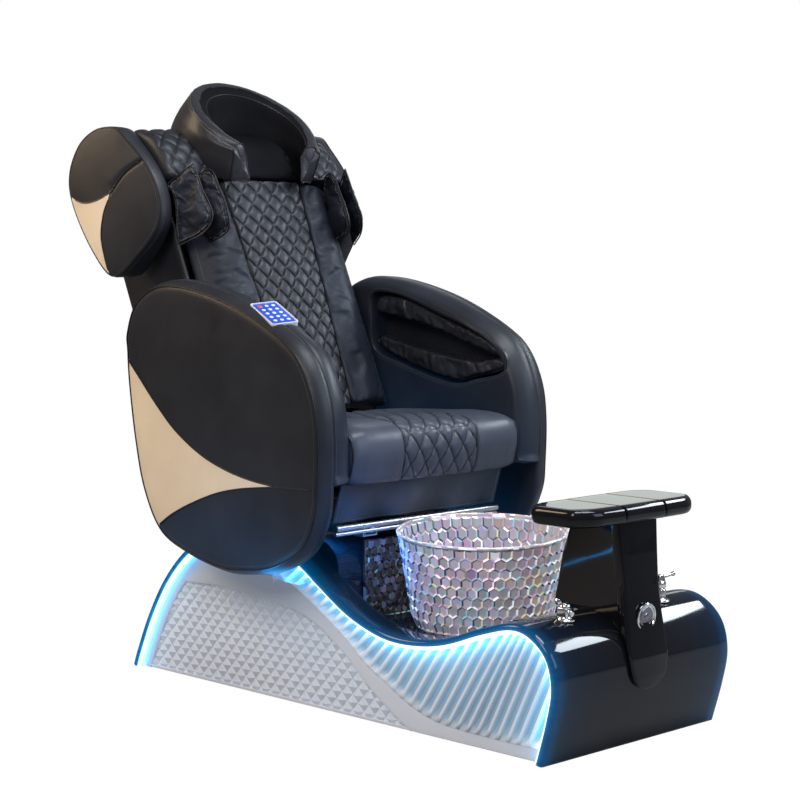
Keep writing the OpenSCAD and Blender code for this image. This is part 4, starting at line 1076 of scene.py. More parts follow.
def makeRest(s):
    end, curl = s["length"] / 2, s["round"]

    def halfDepth(x):
        # half the depth of the pad's plan at x
        r, d = s["corner"], s["depth"] / 2
        over = abs(x) - (end - r)
        bow = 5 * (x / end) ** 2
        if over <= 0:
            return d - bow
        return max(d - bow - r + math.sqrt(max(r * r - over * over, 0)), 0.5)
    outer = [end] + [end - curl + curl * math.sin(math.pi / 2 - k / 10 * math.pi / 2)
                     for k in range(1, 11)]
    spread = sorted(set([round(x, 3) for x in outer] + [-round(x, 3) for x in outer]
                        + [round(-178 + 356 * i / 60, 3) for i in range(61)]
                        + [side * (s["groove"] + d) for side in (-1, 1)
                           for d in (-5.2, -3.9, -3.4, -1.9, -1.4, 1.4, 1.9, 3.4, 3.9, 5.2)]))
    rings = []
    for x in spread:
        rim = max((abs(x) - (end - curl)) / curl, 0)
        shrink = curl * (1 - math.sqrt(max(1 - rim * rim, 0)))
        d = halfDepth(x if rim <= 0 else math.copysign(end - curl - 0.01, x))
        d = max(d - shrink - rim * 6, 1)
        off = abs(abs(x) - s["groove"])
        cut = 0 if off > 4.4 or rim > 0 else 2.2 if off > 3.6 else 5.5 if off > 1.7 else 10
        top, low = s["high"] - shrink - cut, s["low"] + shrink * 0.6
        mid, rz = (top + low) / 2, (top - low) / 2
        ry = min(rz * 1.15, d * 0.9)
        ring = []
        for way, start, flat in ((1, -math.pi / 2, top), (-1, math.pi / 2, low)):
            for k in range(13):
                a = start + math.pi * k / 12
                ring.append((x, s["mid"] + way * (d - ry + ry * abs(math.cos(a)) ** 0.8
                                                  - cut * 0.3),
                             mid + rz * math.copysign(abs(math.sin(a)) ** 0.8, math.sin(a))))
            for k in range(1, 8):
                ring.append((x, s["mid"] + way * (d - ry) * (1 - k / 4), flat))
        rings.append(ring)
    newPiece("footrestPad", ringForm(rings), glossShell, "base", ["footrest_pad"], 28)


tapShape = {"x": 155, "y": -612, "z": 273}


def makeTaps(s):
    def at(side, dz=0.0):
        return side * s["x"], s["y"], s["z"] + dz
    flange = [(0.01, 0.2), (23, 0.2), (24, 1.0), (24, 3.4), (22.6, 4.8), (19, 5.6), (16.8, 6.4),
              (15.6, 8), (15.2, 11)]
    body = flange + [(15, 14), (15, 24), (14.6, 26.2), (13.4, 27.4), (12, 28.2), (11.6, 29.4),
                     (0.01, 29.4)]
    newPiece("mixerColumn", turned(body, 40, at(1)), chrome, "base", ["mixer_body"], 30)
    cap = [(0.01, 30.2), (12.5, 30.2), (14.4, 31), (15, 32.6), (15, 40), (14.2, 43), (12.4, 45.2),
           (9, 46), (0.01, 46)]
    top = turned(cap, 40, at(1))
    cheek = bmesh.new()
    bmesh.ops.create_cube(cheek, size=1)
    bmesh.ops.scale(cheek, vec=(0.026, 0.020, 0.022), verts=cheek.verts)
    for v in cheek.verts:
        if v.co.z > 0:
            v.co.x *= 0.66
            v.co.y *= 0.8
    bevelled(cheek, cheek.edges[:], 2.4, 3)
    bmesh.ops.translate(cheek, vec=Vector(at(1, 47)) * mm, verts=cheek.verts)
    newPiece("mixerHead", joinForms([top, cheek]), chrome, "mixer_cap", ["mixer_cap"], 30)
    rod = [(0.01, 3), (3.2, 3.2), (3.9, 4.5), (4, 8), (3.6, 10), (3.4, 42), (3.9, 45), (4.9, 46),
           (5, 47.2), (5, 51), (4.2, 52), (0.01, 52)]
    turn = Matrix.Rotation(math.radians(86), 4, "Y")
    newPiece("mixerHandle", turned(rod, 28, at(1, 51), turn), chrome, "mixer_lever",
             ["mixer_lever"], 30)
    socket = bmesh.new()
    bmesh.ops.create_cube(socket, size=0.026)
    bmesh.ops.scale(socket, vec=(1, 1, 24 / 26), verts=socket.verts)
    bevelled(socket, socket.edges[:], 2.6, 3)
    bmesh.ops.translate(socket, vec=Vector(at(-1, 16)) * mm, verts=socket.verts)
    knob = turned([(0.01, 0), (6.4, 0), (7, 0.7), (7, 5.4), (6.2, 6.6), (4.8, 7), (4.2, 6.4),
                   (0.01, 6.4)], 28, (-s["x"], s["y"] - 13, s["z"] + 16),
                  Matrix.Rotation(math.radians(90), 4, "X"))
    newPiece("sprayBase", joinForms([socket, knob, turned(flange, 40, at(-1))]), chrome,
             "base", ["spray_socket"], 30)
    grip = turned([(0.01, 28.6), (11, 28.6), (12.8, 29.6), (13, 31), (11.6, 33.4), (9.6, 36.2),
                   (7, 37.6), (0.01, 38)], 32, at(-1))
    neck = turned([(4.6, 0), (4.9, 6), (4.9, 18), (5.6, 20), (6.8, 21.4), (7, 24), (6.4, 27.5),
                   (4.6, 29.6), (0.01, 30)], 24, at(-1, 34),
                  Matrix.Rotation(math.radians(-70), 4, "Y"))
    newPiece("sprayHead", joinForms([grip, neck]), chrome, "hand_spray", ["hand_spray"], 30)


makePost(postShape)
makeBadge(badgeShape)
makeRest(restShape)
makeTaps(tapShape)
print("post, badge, pad and taps made")

# ---- sewing and padding ----


def tubeForm(path, radius, closed=False):
    # a round cord of piping along a path in millimetres
    n = len(path)
    spots = [Vector(p) for p in path]
    rings, side = [], None
    for i, p in enumerate(spots):
        a = spots[(i - 1) % n] if closed else spots[max(i - 1, 0)]
        b = spots[(i + 1) % n] if closed else spots[min(i + 1, n - 1)]
        t = (b - a).normalized()
        if side is None:
            side = t.orthogonal().normalized()
        side = (side - t * side.dot(t)).normalized()
        up = t.cross(side)
        rings.append([tuple(p + (side * math.cos(w) + up * math.sin(w)) * radius)
                      for w in (math.pi * k / 4 for k in range(8))])
    if closed:
        rings.append(rings[0])
    return ringForm(rings, cap=not closed)


def surfaceOf(obj):
    mesh = obj.data
    return BVHTree.FromPolygons([v.co for v in mesh.vertices],
                                [tuple(p.vertices) for p in mesh.polygons])


def stitchForm(paths, tree, s):
    # short threads that lie on the surface along each path, in millimetres
    bm = bmesh.new()
    for path in paths:
        count = max(int(lengths(path)[-1] / s["pitch"]), 2)
        line = walk(path, count + 1)
        for a, b in zip(line, line[1:]):
            mid = (Vector(a) + Vector(b)) * 0.5 * mm
            spot, normal, _, _ = tree.find_nearest(mid)
            if spot is None or (spot - mid).length > 0.02:
                continue
            run = Vector(b) - Vector(a)
            run = (run - normal * run.dot(normal)).normalized()
            turn = Matrix((run, normal.cross(run), normal)).transposed().to_4x4()
            place = Matrix.Translation(spot + normal * s["sink"] * mm) @ turn
            size = Matrix.Diagonal((s["long"] * mm, s["wide"] * mm, s["wide"] * mm * 0.8, 1))
            bmesh.ops.create_cube(bm, size=1, matrix=place @ size)
    return bm


def sewn(name, paths, obj, body, thread, s={}):
    bm = stitchForm(paths, surfaceOf(obj), dict(stitchShape, **s))
    newPiece(name, bm, thread, body, (), 0, flat=True)


def padForm(outline, place, thick):
    # two sheets sewn together round an outline, with a little fill between them
    n, mid = len(outline), middle(outline)
    sides = []
    for way in (-1, 1):
        def spot(u, v, way=way):
            return place(*scaled(mid, outline[round(u * n) % n], max(v, 0.001)),
                         way * thick * (1 - v ** 2.4) ** 0.8)
        sides.append(formGrid(n, 9, spot, closed=True))
    bm = joinForms(sides)
    bmesh.ops.remove_doubles(bm, verts=bm.verts, dist=0.0002)
    bmesh.ops.recalc_face_normals(bm, faces=bm.faces)
    return bm


def puffed(obj, s, pinned):
    # cloth under pressure, held along its seams, then the result kept in the mesh
    applied(obj, ("REMESH", {"mode": "VOXEL", "voxel_size": s["voxel"] * mm}))
    mesh = obj.data
    mesh.shade_smooth()
    group = obj.vertex_groups.new(name="seams")
    group.add([v.index for v in mesh.vertices if pinned(v.co / mm)], 1.0, "REPLACE")
    start = [v.co.copy() for v in mesh.vertices]
    cloth = obj.modifiers.new("cloth", "CLOTH")
    use = cloth.settings
    use.quality = 6
    use.mass = 0.2
    use.tension_stiffness = use.compression_stiffness = 12
    use.shear_stiffness = 5
    use.bending_stiffness = s.get("bend", 0.25)
    use.use_pressure = True
    use.uniform_pressure_force = s["pressure"]
    use.shrink_min = -s["slack"]
    use.effector_weights.gravity = 0
    use.vertex_group_mass = "seams"
    cloth.collision_settings.use_collision = False
    cloth.point_cache.frame_start, cloth.point_cache.frame_end = 1, s["frames"]
    scene = bpy.context.scene
    for k in range(1, s["frames"] + 1):
        scene.frame_set(k)
    shaped = obj.evaluated_get(bpy.context.evaluated_depsgraph_get()).data
    moved = [v.co.copy() for v in shaped.vertices]
    obj.modifiers.remove(cloth)
    scene.frame_set(1)
    cap = s["cap"] * mm
    for v, a, b in zip(mesh.vertices, start, moved):
        step = b - a
        far = step.length
        v.co = a + step * (cap * math.tanh(far / cap) / far if far > 1e-9 else 0)
    obj.vertex_groups.clear()
    bm = bmesh.new()
    bm.from_mesh(mesh)
    softened(bm, bm.verts)
    bm.to_mesh(mesh)
    bm.free()
    applied(obj, ("SUBSURF", {"levels": 1, "render_levels": 1}))
    mesh.shade_smooth()


def quiltPuff(a, b):
    # 0 on a sewn line, 1 in the middle of a diamond
    return abs(math.sin(math.pi * a) * math.sin(math.pi * b)) ** 0.42


def quiltSeam(a, b, spacing):
    # 1 on a sewn line, 0 away from it; spacing is the distance between the lines
    near = min(abs(a - round(a)), abs(b - round(b))) * spacing
    return math.exp(-(near / 1.5) ** 2)


def ripple(x, y, z, scale, seed=0.0):
    return noise.noise(Vector((x * scale + seed, y * scale, z * scale)))


stitchShape = {"pitch": 5.2, "long": 3.6, "wide": 0.75, "sink": 0.15}

# ---- seat cushion and the curtain under it ----

seatShape = {
    "under": 513, "quiltHalf": 118, "diamondWide": 47.2, "diamondTall": 70,
    "loop": [(-92, 517), (-103, 543), (-110, 583), (-98, 623), (-64, 641), (0, 645), (80, 642),
             (160, 639), (230, 635), (288, 625), (300, 585), (296, 521), (230, 513), (120, 513),
             (10, 513), (-60, 513)],
    "around": 430, "puff": 6.0,
}


def makeSeat(s):
    base = closedLine(s["loop"], s["around"])
    far = lengths(base)
    ends = [(0, -2), (150, -3), (200, -2.5), (232, -1), (256, 4), (264, 8), (268.6, 14),
            (270.6, 21), (271.6, 32)]
    edge = s["quiltHalf"]
    columns = sorted(set([round(-258 + 140 * i / 24, 3) for i in range(24)]
                         + [round(118 + 140 * i / 24, 3) for i in range(1, 25)]
                         + [round(-118 + 236 * i / 112, 3) for i in range(113)]
                         + [side * x for side in (-1, 1)
                            for x in (112, 115, 117, 118, 119, 121, 124, 261, 264, 266.6, 268.6,
                                      270, 271, 271.6)]))
    rings = []
    shifted = {}
    for x in columns:
        inset = round(table(abs(x), ends), 3)
        if inset not in shifted:
            shifted[inset] = drawnIn(base, inset)
        ring = []
        inner = drawnIn(base, inset + 10)
        for i, p in enumerate(shifted[inset]):
            run = far[i]
            upper = base[i][1] > s["under"] + 3 or base[i][0] < -70
            # seamShade is painted shade along the quilt's sewn lines and beside the side seams,
            # kept in the attribute seam
            sink = seamShade = 0.0
            if upper and base[i][0] < 285:
                if abs(x) < edge - 0.5:
                    a = run / s["diamondTall"] + x / s["diamondWide"] + 0.5
                    b = run / s["diamondTall"] - x / s["diamondWide"] - 0.5
                    sink = s["puff"] * (0.72 - quiltPuff(a, b))
                    seamShade = quiltSeam(a, b, 39)
                    sink += 1.2 * seamShade + 0.5 * ripple(x, run, 0, 0.09, 5)
                    crease = abs(run - 112)
                    if crease < 5:
                        sink += 1.1 * (1 - crease / 5)
                seam = abs(abs(x) - edge)
                sink += 5.0 * math.exp(-(seam / 3.2) ** 2)
                seamShade = max(seamShade, 0.8 * math.exp(-(seam / 1.6) ** 2))
                if abs(x) > edge + 2:
                    sink += 1.6 * ripple(x, p[0], p[1], 0.011, 3.1)
                    sink += 0.9 * ripple(x, run * 0.25, 0, 0.05, 7) * math.exp(-seam / 22)
            q = inner[i]
            t = sink / 10
            y, z = p[0] + (q[0] - p[0]) * t, p[1] + (q[1] - p[1]) * t
            if not upper or z < s["under"] + 1:
                z = max(z, s["under"] + 0.3)
            ring.append((x, y, z, seamShade))
        rings.append(ring)
    seat = newPiece("seatCushion", ringForm(rings), seatLeather, "seat", ["seat_cushion"], 60)
    trims = [atX(x, [p for p in base if p[1] > 530 and p[0] < 280])
             for x in (-edge - 6, edge + 6)]
    trims += [atX(side * 262, [p for p in drawnIn(base, 4) if p[1] > 520 and p[0] < 285])
              for side in (-1, 1)]
    sewn("seatStitches", [unbroken(path, 20) for path in trims], seat, "seat", blackThread)
    for side, name in ((-1, "Right"), (1, "Left")):
        cord = tubeForm(atX(side * 268.2, drawnIn(base, 10)[::2]), 1.9, closed=True)
        newPiece("seatPiping" + name, cord, pipingLeather, "seat")


flapShape = {"half": 262, "top": 512.4, "low": 423, "thick": 2.4, "across": 120, "down": 34}


def makeFlap(s):
    def place(u, v):
        x = -s["half"] + 2 * s["half"] * u
        wave = 4.4 * v * math.sin(math.radians(x * 2.1)) + 5.6 * v * ripple(x, 0, v * 60, 0.014)
        pull = 5 * math.exp(-((x + 60) / 60) ** 2 - ((v - 0.45) / 0.35) ** 2)
        # painted shade: darker where the folds fall back, lighter where the curtain is pulled
        # forward, and darker at the top under the seat, kept in the attribute seam
        shade = min(max(0.34 + 0.07 * (wave - pull) + 0.4 * math.exp(-v / 0.14), 0), 0.9)
        return x, -56 + 30 * v + wave - pull, s["top"] + (s["low"] - s["top"]) * v, shade
    bm = formGrid(s["across"], s["down"], place)
    bmesh.ops.recalc_face_normals(bm, faces=bm.faces)
    if sum(f.normal.y for f in bm.faces) > 0:
        bmesh.ops.reverse_faces(bm, faces=bm.faces)
    flap = newPiece("seatCurtain", bm, seatLeather, "seat", ["seat_flap"], 0)
    # painted light: blue glow of the lamps below on the curtain, by the attribute lamp
    lampBeside(flap, plinth, ((0.06, 110),), "lamp")
    applied(flap, ("SOLIDIFY", {"thickness": s["thick"] * mm, "offset": -1}))

    def line(fn):
        return [fn(k / 60)[:3] for k in range(61)]
    hem = line(lambda t: place(t * 0.97 + 0.015, 0.945))
    sides = [line(lambda t: place(u, t * 0.9 + 0.04)) for u in (0.015, 0.985)]
    sewn("curtainStitches", [hem] + sides, flap, "seat", greyThread, {"pitch": 4.6, "long": 3.0})


makeSeat(seatShape)
makeFlap(flapShape)
print("seat made")

# ---- arms ----

armShape = {
    "face": 375, "inner": 272, "step": 520,
    "loop": [(572, 790), (573, 830), (542, 897), (476, 938), (400, 948), (291, 935),
             (151, 897), (18, 838), (-47, 788), (-88, 709), (-101, 624), (-99, 522), (-90, 450),
             (-45, 375), (55, 324), (157, 307), (228, 304), (336, 323), (447, 367), (511, 461),
             (544, 577), (566, 710)],
    "upper": [(572, 790), (573, 830), (542, 897), (476, 938), (400, 948), (291, 935),
              (151, 897), (18, 838), (-47, 788), (-88, 709), (-101, 624), (-100, 545),
              (-92, 522), (40, 522), (200, 522), (360, 522), (505, 522), (530, 550),
              (552, 640), (566, 710)],
    "slot": [(405, 850), (396, 915), (300, 912), (160, 868), (30, 826), (-38, 792), (-58, 760),
             (-40, 734), (40, 716), (130, 702), (300, 742), (392, 775)],
    "insertTop": [(596, 812), (567, 773), (518, 726), (461, 672), (387, 612), (296, 563),
                  (207, 534), (121, 518), (43, 511)],
    "insertLow": [(50, 508), (156, 495), (243, 476), (334, 444), (401, 414), (447, 386),
                  (466, 370), (480, 345)],
    "joinLine": [(46, 510), (0, 510), (-45, 512), (-78, 513)],
    "crown": [(0, 30), (0.5, 20), (1.5, 10.5), (3.4, 5.6), (6, 2.5), (10, -1), (15, -4),
              (22, -7.2), (30, -9), (37, -9.6), (41.5, -8.8), (44.4, -6.4), (46, -2)],
    "inside": [(-336.6, 3), (-335.6, -3), (-333, -7.5), (-327, -10.4), (-320, -11), (-310, -9.6),
               (-301, -7), (-294, -3.6), (-288, 0), (-283, 3), (-279, 6), (-275.4, 9.6),
               (-273, 13), (-272, 17)],
    "around": 300, "mid": (215, 620), "slotMid": (190, 800), "slotDeep": 71,
}


def rayOut(mid, toward, line):
    # where the ray from mid towards a point last meets the closed line
    dx, dy = toward[0] - mid[0], toward[1] - mid[1]
    best = 0.0
    n = len(line)
    for i in range(n):
        p, q = line[i], line[(i + 1) % n]
        ex, ey = q[0] - p[0], q[1] - p[1]
        det = dx * -ey + ex * dy
        if abs(det) < 1e-9:
            continue
        wx, wy = p[0] - mid[0], p[1] - mid[1]
        t = (wx * -ey + ex * wy) / det
        r = (dx * wy - dy * wx) / det
        if -0.001 <= r <= 1.001:
            best = max(best, t)
    return mid[0] + dx * best, mid[1] + dy * best


def slabForm(s, side):
    base = closedLine(s["loop"], s["around"])
    rings = []
    for f in (0.02, 0.12, 0.24, 0.36, 0.48, 0.58, 0.67, 0.75, 0.82, 0.88, 0.93, 0.97):
        ring = []
        for p in drawnIn(base, 30):
            y, z = scaled(s["mid"], p, f)
            x = s["face"] + 1.6 * (1 - f * f) + 0.8 * ripple(y, z, 0, 0.006)
            ring.append((side * x, y, z))
        rings.append(ring)
    rings += [atX(side * (s["face"] - x), drawnIn(base, inset)) for x, inset in s["crown"]]
    last = drawnIn(base, 4)
    rings += [atX(side * (s["face"] - 46), [scaled(s["mid"], p, f) for p in last])
              for f in (0.9, 0.5, 0.1)]
    return ringForm(rings)


def innerForm(s, side):
    # the arm's inner half, from the joint with the slab over the rim into the slot
    base, slot = closedLine(s["upper"], s["around"]), smooth(s["slot"], 8, closed=True)
    rings = [atX(side * 336.6, [(p[0], max(p[1], s["step"] + 20)) for p in drawnIn(base, 30)])]
    rings += [atX(side * -x, [(p[0], max(p[1], s["step"])) for p in drawnIn(base, inset)])
              for x, inset in s["inside"]]
    rim = [(p[0], max(p[1], s["step"])) for p in drawnIn(base, 17)]
    mouth = [rayOut(s["slotMid"], p, slot) for p in drawnIn(base, 17)]
    for f in (0.2, 0.4, 0.6, 0.78, 0.9, 0.96):
        ring = []
        for p, q in zip(rim, mouth):
            y, z = p[0] + (q[0] - p[0]) * f, p[1] + (q[1] - p[1]) * f
            x = s["inner"] - 1.2 * math.sin(math.pi * f) - 0.8 * ripple(y, z, 5, 0.008)
            ring.append((side * x, y, z))
        rings.append(ring)
    floor = s["inner"] + s["slotDeep"]
    for x, grow in ((272.2, 4), (273, 2), (275, 0.6), (278, 0), (300, -0.5), (325, -0.5),
                    (floor, -0.5)):
        ring = []
        for q in mouth:
            d = math.dist(q, s["slotMid"])
            ring.append(scaled(s["slotMid"], q, (d + grow) / d))
        rings.append(atX(side * x, ring))
    rings += [atX(side * floor, [scaled(s["slotMid"], q, f) for q in mouth])
              for f in (0.6, 0.2)]
    return ringForm(rings)


def makeArm(s, side, name):
    face = s["face"]
    top, low = smooth(s["insertTop"], 6), smooth(s["insertLow"], 6)
    slab = newPiece("armOuter_" + name, slabForm(s, side), blackLeather, "seat",
                    ["arm_" + name], 50)
    beige = newPiece("armInsert_" + name, slabForm(s, side), beigeLeather, "seat",
                     ["arm_insert_" + name], 50)
    tool = prismTool(top + low + [(640, 345)], side * (face + 20), side * (face - 7))
    cutBy(slab, tool, "DIFFERENCE")
    cutBy(beige, tool, "INTERSECT")
    applied(beige, ("WEIGHTED_NORMAL", {"keep_sharp": True}))
    bpy.data.objects.remove(tool)
    inner = newPiece("armInner_" + name, innerForm(s, side), blackLeather, "seat", (), 55)
    base, upper = closedLine(s["loop"], 260), closedLine(s["upper"], 300)
    cords = [tubeForm(atX(side * (face - 3.2), drawnIn(base, 4.6)), 2.3, closed=True)]
    for rise, radius, count, line in (
            (0.6, 2.0, 120, [p for p in top if p[0] < 563]),
            (0.6, 2.0, 120, [p for p in low if p[0] < 449]),
            (0.3, 1.3, 30, smooth(s["joinLine"], 6))):
        cords.append(tubeForm(atX(side * (face + rise), walk(line, count)), radius))
    # painted light: blue glow of the lamps below on the arm's leather, by the attribute lamp
    lampBeside(slab, plinth, ((0.17, 60), (0.5, 9)), "lamp")
    lampBeside(inner, plinth, ((0.22, 60), (0.13, 140)), "lamp")
    newPiece("armPiping_" + name, joinForms(cords), pipingLeather, "seat", (), 0)
    rows = [atX(side * (face - 0.5), drawnIn(base, 13)),
            atX(side * (face - 35), drawnIn(base, -9.4))]
    sewn("armStitches_" + name, rows, slab, "seat", blackThread)
    rim = atX(side * s["inner"], drawnIn(closedLine(s["slot"], 200), -8))
    edge = atX(side * 329, [p for p in drawnIn(upper, -10.5) if p[1] > s["step"] + 12])
    sewn("armInnerStitches_" + name, [rim, edge], inner, "seat", blackThread)


bothSides(makeArm, armShape)
print("arms made")

airbagShape = {
    "upper": [(397, 872), (390, 906), (300, 905), (160, 861), (32, 819), (-24, 790), (-18, 777),
              (40, 790), (180, 832), (320, 860)],
    "lower": [(388, 790), (300, 751), (130, 711), (40, 724), (-34, 742), (-46, 756), (-20, 764),
              (60, 756), (200, 774), (330, 798), (384, 808)],
    "stations": [(0, 0.90), (4, 0.95), (12, 0.985), (34, 1), (56, 0.985), (62, 0.95), (66, 0.88)],
    "root": 344, "voxel": 5.0, "pressure": 2.2, "slack": 0.14, "cap": 9, "frames": 16,
}


def makeArmBags(s, side, name):
    for key in ("upper", "lower"):
        base = closedLine(s[key], 150)
        mid = middle(base)
        rings = [atX(side * (s["root"] - x), [scaled(mid, p, f) for p in base])
                 for x, f in s["stations"]]
        bag = newPiece("armCushion_" + key + "_" + name, ringForm(rings), softLeather, "seat",
                       ["arm_airbags_" + name] if key == "upper" else (), 0)

        def pinned(co, seam=base):
            x = abs(co[0])
            if x > s["root"] - 6:
                return True
            return abs(x - (s["root"] - 56)) < 4 and min(
                (p[0] - co[1]) ** 2 + (p[1] - co[2]) ** 2 for p in seam) < 30
        puffed(bag, s, pinned)
        cord = tubeForm(atX(side * (s["root"] - 56), base), 1.8, closed=True)
        newPiece("armCushionPiping_" + key + "_" + name, cord, pipingLeather, "seat")


bothSides(makeArmBags, airbagShape)
print("arm cushions made")

# ---- back: quilted pad, bolsters, shoulder block and rear cover ----

backShape = {
    "tall": 597, "thick": 50, "diamondTall": 56, "puff": 5.5, "columns": 150, "rows": 330,
    "half": 258, "depth": 315,
    "shoulder": [(0, 600), (-4, 640), (14, 700), (60, 752), (140, 778), (230, 768), (292, 730),
                 (313, 670), (313, 604), (220, 600), (120, 600), (50, 600)],
}


def quiltEdge(u):
    return 90 + 37 * u / 585


def onBack(x, v, u):
    # x, depth v and height u along the leaning back, as a point
    c, s = math.cos(math.radians(23.6)), math.sin(math.radians(23.6))
    return x, 277 + v * c + u * s, 650 - v * s + u * c


def makeBackPad(s):
    rings = []
    tall = s["tall"]
    rows = [1.5, 2.2, 3.5, 5.5, 8] + [8 + (tall - 16) * k / s["rows"]
                                      for k in range(1, s["rows"])] + \
           [tall - 8, tall - 5.5, tall - 3.5, tall - 2.2, tall - 1.5]
    for u in rows:
        end = max(8 - u, u - (tall - 8), 0) / 6.5
        roll = 6 * (1 - math.sqrt(max(1 - min(end, 1) ** 2, 0)))
        w = quiltEdge(u) - 0.8 - roll * 0.3
        ring = []
        for i in range(s["columns"] + 1):
            a = 2 * i / s["columns"] - 1
            x = a * w
            p = u / s["diamondTall"] + a * 2.5 + 0.5
            q = u / s["diamondTall"] - a * 2.5 - 0.5
            # seamShade is painted shade along the quilt's sewn lines, kept in the attribute seam
            seamShade = quiltSeam(p, q, 37)
            puff = s["puff"] * (quiltPuff(p, q) - 0.8) - 1.3 * seamShade
            side = 8 * math.exp(-((1 - abs(a)) * w / 3.4) ** 2)
            v = -puff + side + roll - 4 * (1 - a * a) - 0.7 * ripple(x, u, 0, 0.02, 2)
            v -= 0.6 * ripple(x, u, 0, 0.09, 8)
            ring.append((*onBack(x, v, u), seamShade))
        rings.append(ring + [onBack(x, s["thick"] * deep, u) for x, deep in (
            (w, 0.6), (w - 1, 1), (-w + 1, 1), (-w, 0.6))])
    pad = newPiece("backPad", ringForm(rings), blackLeather, "back", ["back_pad"], 60)


def makeBolster(s, side, name):
    tall = s["tall"]
    rings = []
    for k in range(61):
        t = k / 60
        u = 6 + (tall - 12) * t
        end = max(0.045 - t, t - 0.955, 0) / 0.045
        roll = 9 * (1 - math.sqrt(max(1 - end * end, 0)))
        inner, outer = quiltEdge(u) + 0.8 + roll * 0.4, 224 - roll * 0.5
        span = outer - inner
        front = [(inner, 26), (inner, 8), (inner + 2.5, 1), (inner + 8, -3.0),
                 (inner + span * 0.25, -5.0), (inner + span * 0.45, -2.4),
                 (inner + span * 0.65, 3.6), (inner + span * 0.85, 13), (outer, 24),
                 (outer + 14, 36), (outer + 23, 48), (outer + 20, 56), (outer - 10, 58),
                 (inner + 12, 50)]
        loop = closedLine(front, 72, 6)
        rings.append([onBack(side * x, v + (roll if v < 30 else 0), u) for x, v in loop])
    bolster = newPiece("backBolster_" + name, ringForm(rings), dullLeather, "back",
                       ["back_bolster_" + name], 0)

    def pinned(co):
        x = abs(co[0])
        u = (co[2] - 650) * 0.9164 + (co[1] - 277) * 0.4003
        v = (co[1] - 277) * 0.9164 - (co[2] - 650) * 0.4003
        return v > 22 or u < 9 or u > tall - 9 or x < quiltEdge(u) + 3
    puffed(bolster, bolsterSim, pinned)
    path = [onBack(side * 238, 31, 10 + (tall - 20) * k / 120) for k in range(121)]
    sewn("bolsterStitches_" + name, [path], bolster, "back", blackThread)


def makeShoulder(s):
    base = closedLine(s["shoulder"], 420)
    far = lengths(base)
    ends = [(0, 4), (60, 2), (120, -2), (190, -4), (262, 0), (273, 3), (278, 8), (281, 14),
            (282.6, 22), (283, 30)]
    columns = sorted(set([round(-100 + 200 * i / 30, 3) for i in range(31)]
                         + [round(side * (100 + 165 * i / 75), 3) for side in (-1, 1)
                            for i in range(76)]
                         + [side * x for side in (-1, 1)
                            for x in (268, 271, 274, 276, 278, 279.6, 281, 282, 282.6, 283)]))
    rings = []
    for x in columns:
        inset = table(abs(x), ends)
        outer, inner = drawnIn(base, inset), drawnIn(base, inset + 10)
        ring = []
        for i, (p, q) in enumerate(zip(outer, inner)):
            sink = seamShade = 0.0
            if base[i][1] > 604:
                run = far[i]
                a, b = run / 60 + x / 50, run / 60 - x / 50
                share = ease(100, 112, abs(x)) * (1 - ease(270, 280, abs(x)))
                # seamShade is painted shade along the quilt's sewn lines, kept in the attribute
                # seam
                seamShade = quiltSeam(a, b, 38) * share
                sink = (6.0 * (0.8 - quiltPuff(a, b)) + 1.2 * seamShade) * share
                sink += 1.2 * ripple(x, p[0], p[1], 0.02, 9)
            t = sink / 10
            v, u = p[0] + (q[0] - p[0]) * t, p[1] + (q[1] - p[1]) * t
            ring.append((*onBack(x, v, max(u, 599)), seamShade))
        rings.append(ring)
    block = newPiece("shoulderBlock", ringForm(rings), blackLeather, "back", ["shoulder_pad"],
                     60)


def makeRearCover(s):
    bm = bmesh.new()
    bmesh.ops.create_cube(bm, size=1)
    bmesh.ops.scale(bm, vec=(2 * s["half"] * mm, (s["depth"] - 62) * mm, 538 * mm),
                    verts=bm.verts)
    bmesh.ops.translate(bm, vec=(0, (s["depth"] + 62) / 2 * mm, (60 + 269) * mm), verts=bm.verts)
    rear = [e for e in bm.edges if all(v.co.y > 0.2 for v in e.verts)
            and abs(e.verts[0].co.z - e.verts[1].co.z) > 0.1]
    bevelled(bm, rear, 30, 6)
    front = [f for f in bm.faces if f.normal.y < -0.9]
    bmesh.ops.delete(bm, geom=front, context="FACES_ONLY")
    soft = [e for e in bm.edges if len(e.link_faces) == 2
            and e.calc_face_angle(0) > math.radians(60)]
    bevelled(bm, soft, 7, 4)
    bmesh.ops.subdivide_edges(bm, edges=[e for e in bm.edges if e.calc_length() > 0.08],
                              cuts=8, use_grid_fill=True)
    for v in bm.verts:
        p = v.co / mm
        if p.y > s["depth"] - 8:
            v.co.y += 3.0 * ripple(p.x, 0, p.z, 0.006, 1) * mm - 2 * mm
        v.co = Vector(onBack(*(v.co / mm))) * mm
    bmesh.ops.recalc_face_normals(bm, faces=bm.faces)
    cover = newPiece("rearCover", bm, blackLeather, "back", ["back_shell"], 40)
    applied(cover, ("SOLIDIFY", {"thickness": 0.004, "offset": -1}))


bolsterSim = {"voxel": 6.0, "pressure": 0.8, "slack": 0.05, "cap": 6, "frames": 14}
makeBackPad(backShape)
bothSides(makeBolster, backShape)
makeShoulder(backShape)
makeRearCover(backShape)
print("back made")

# ---- shoulder wings ----

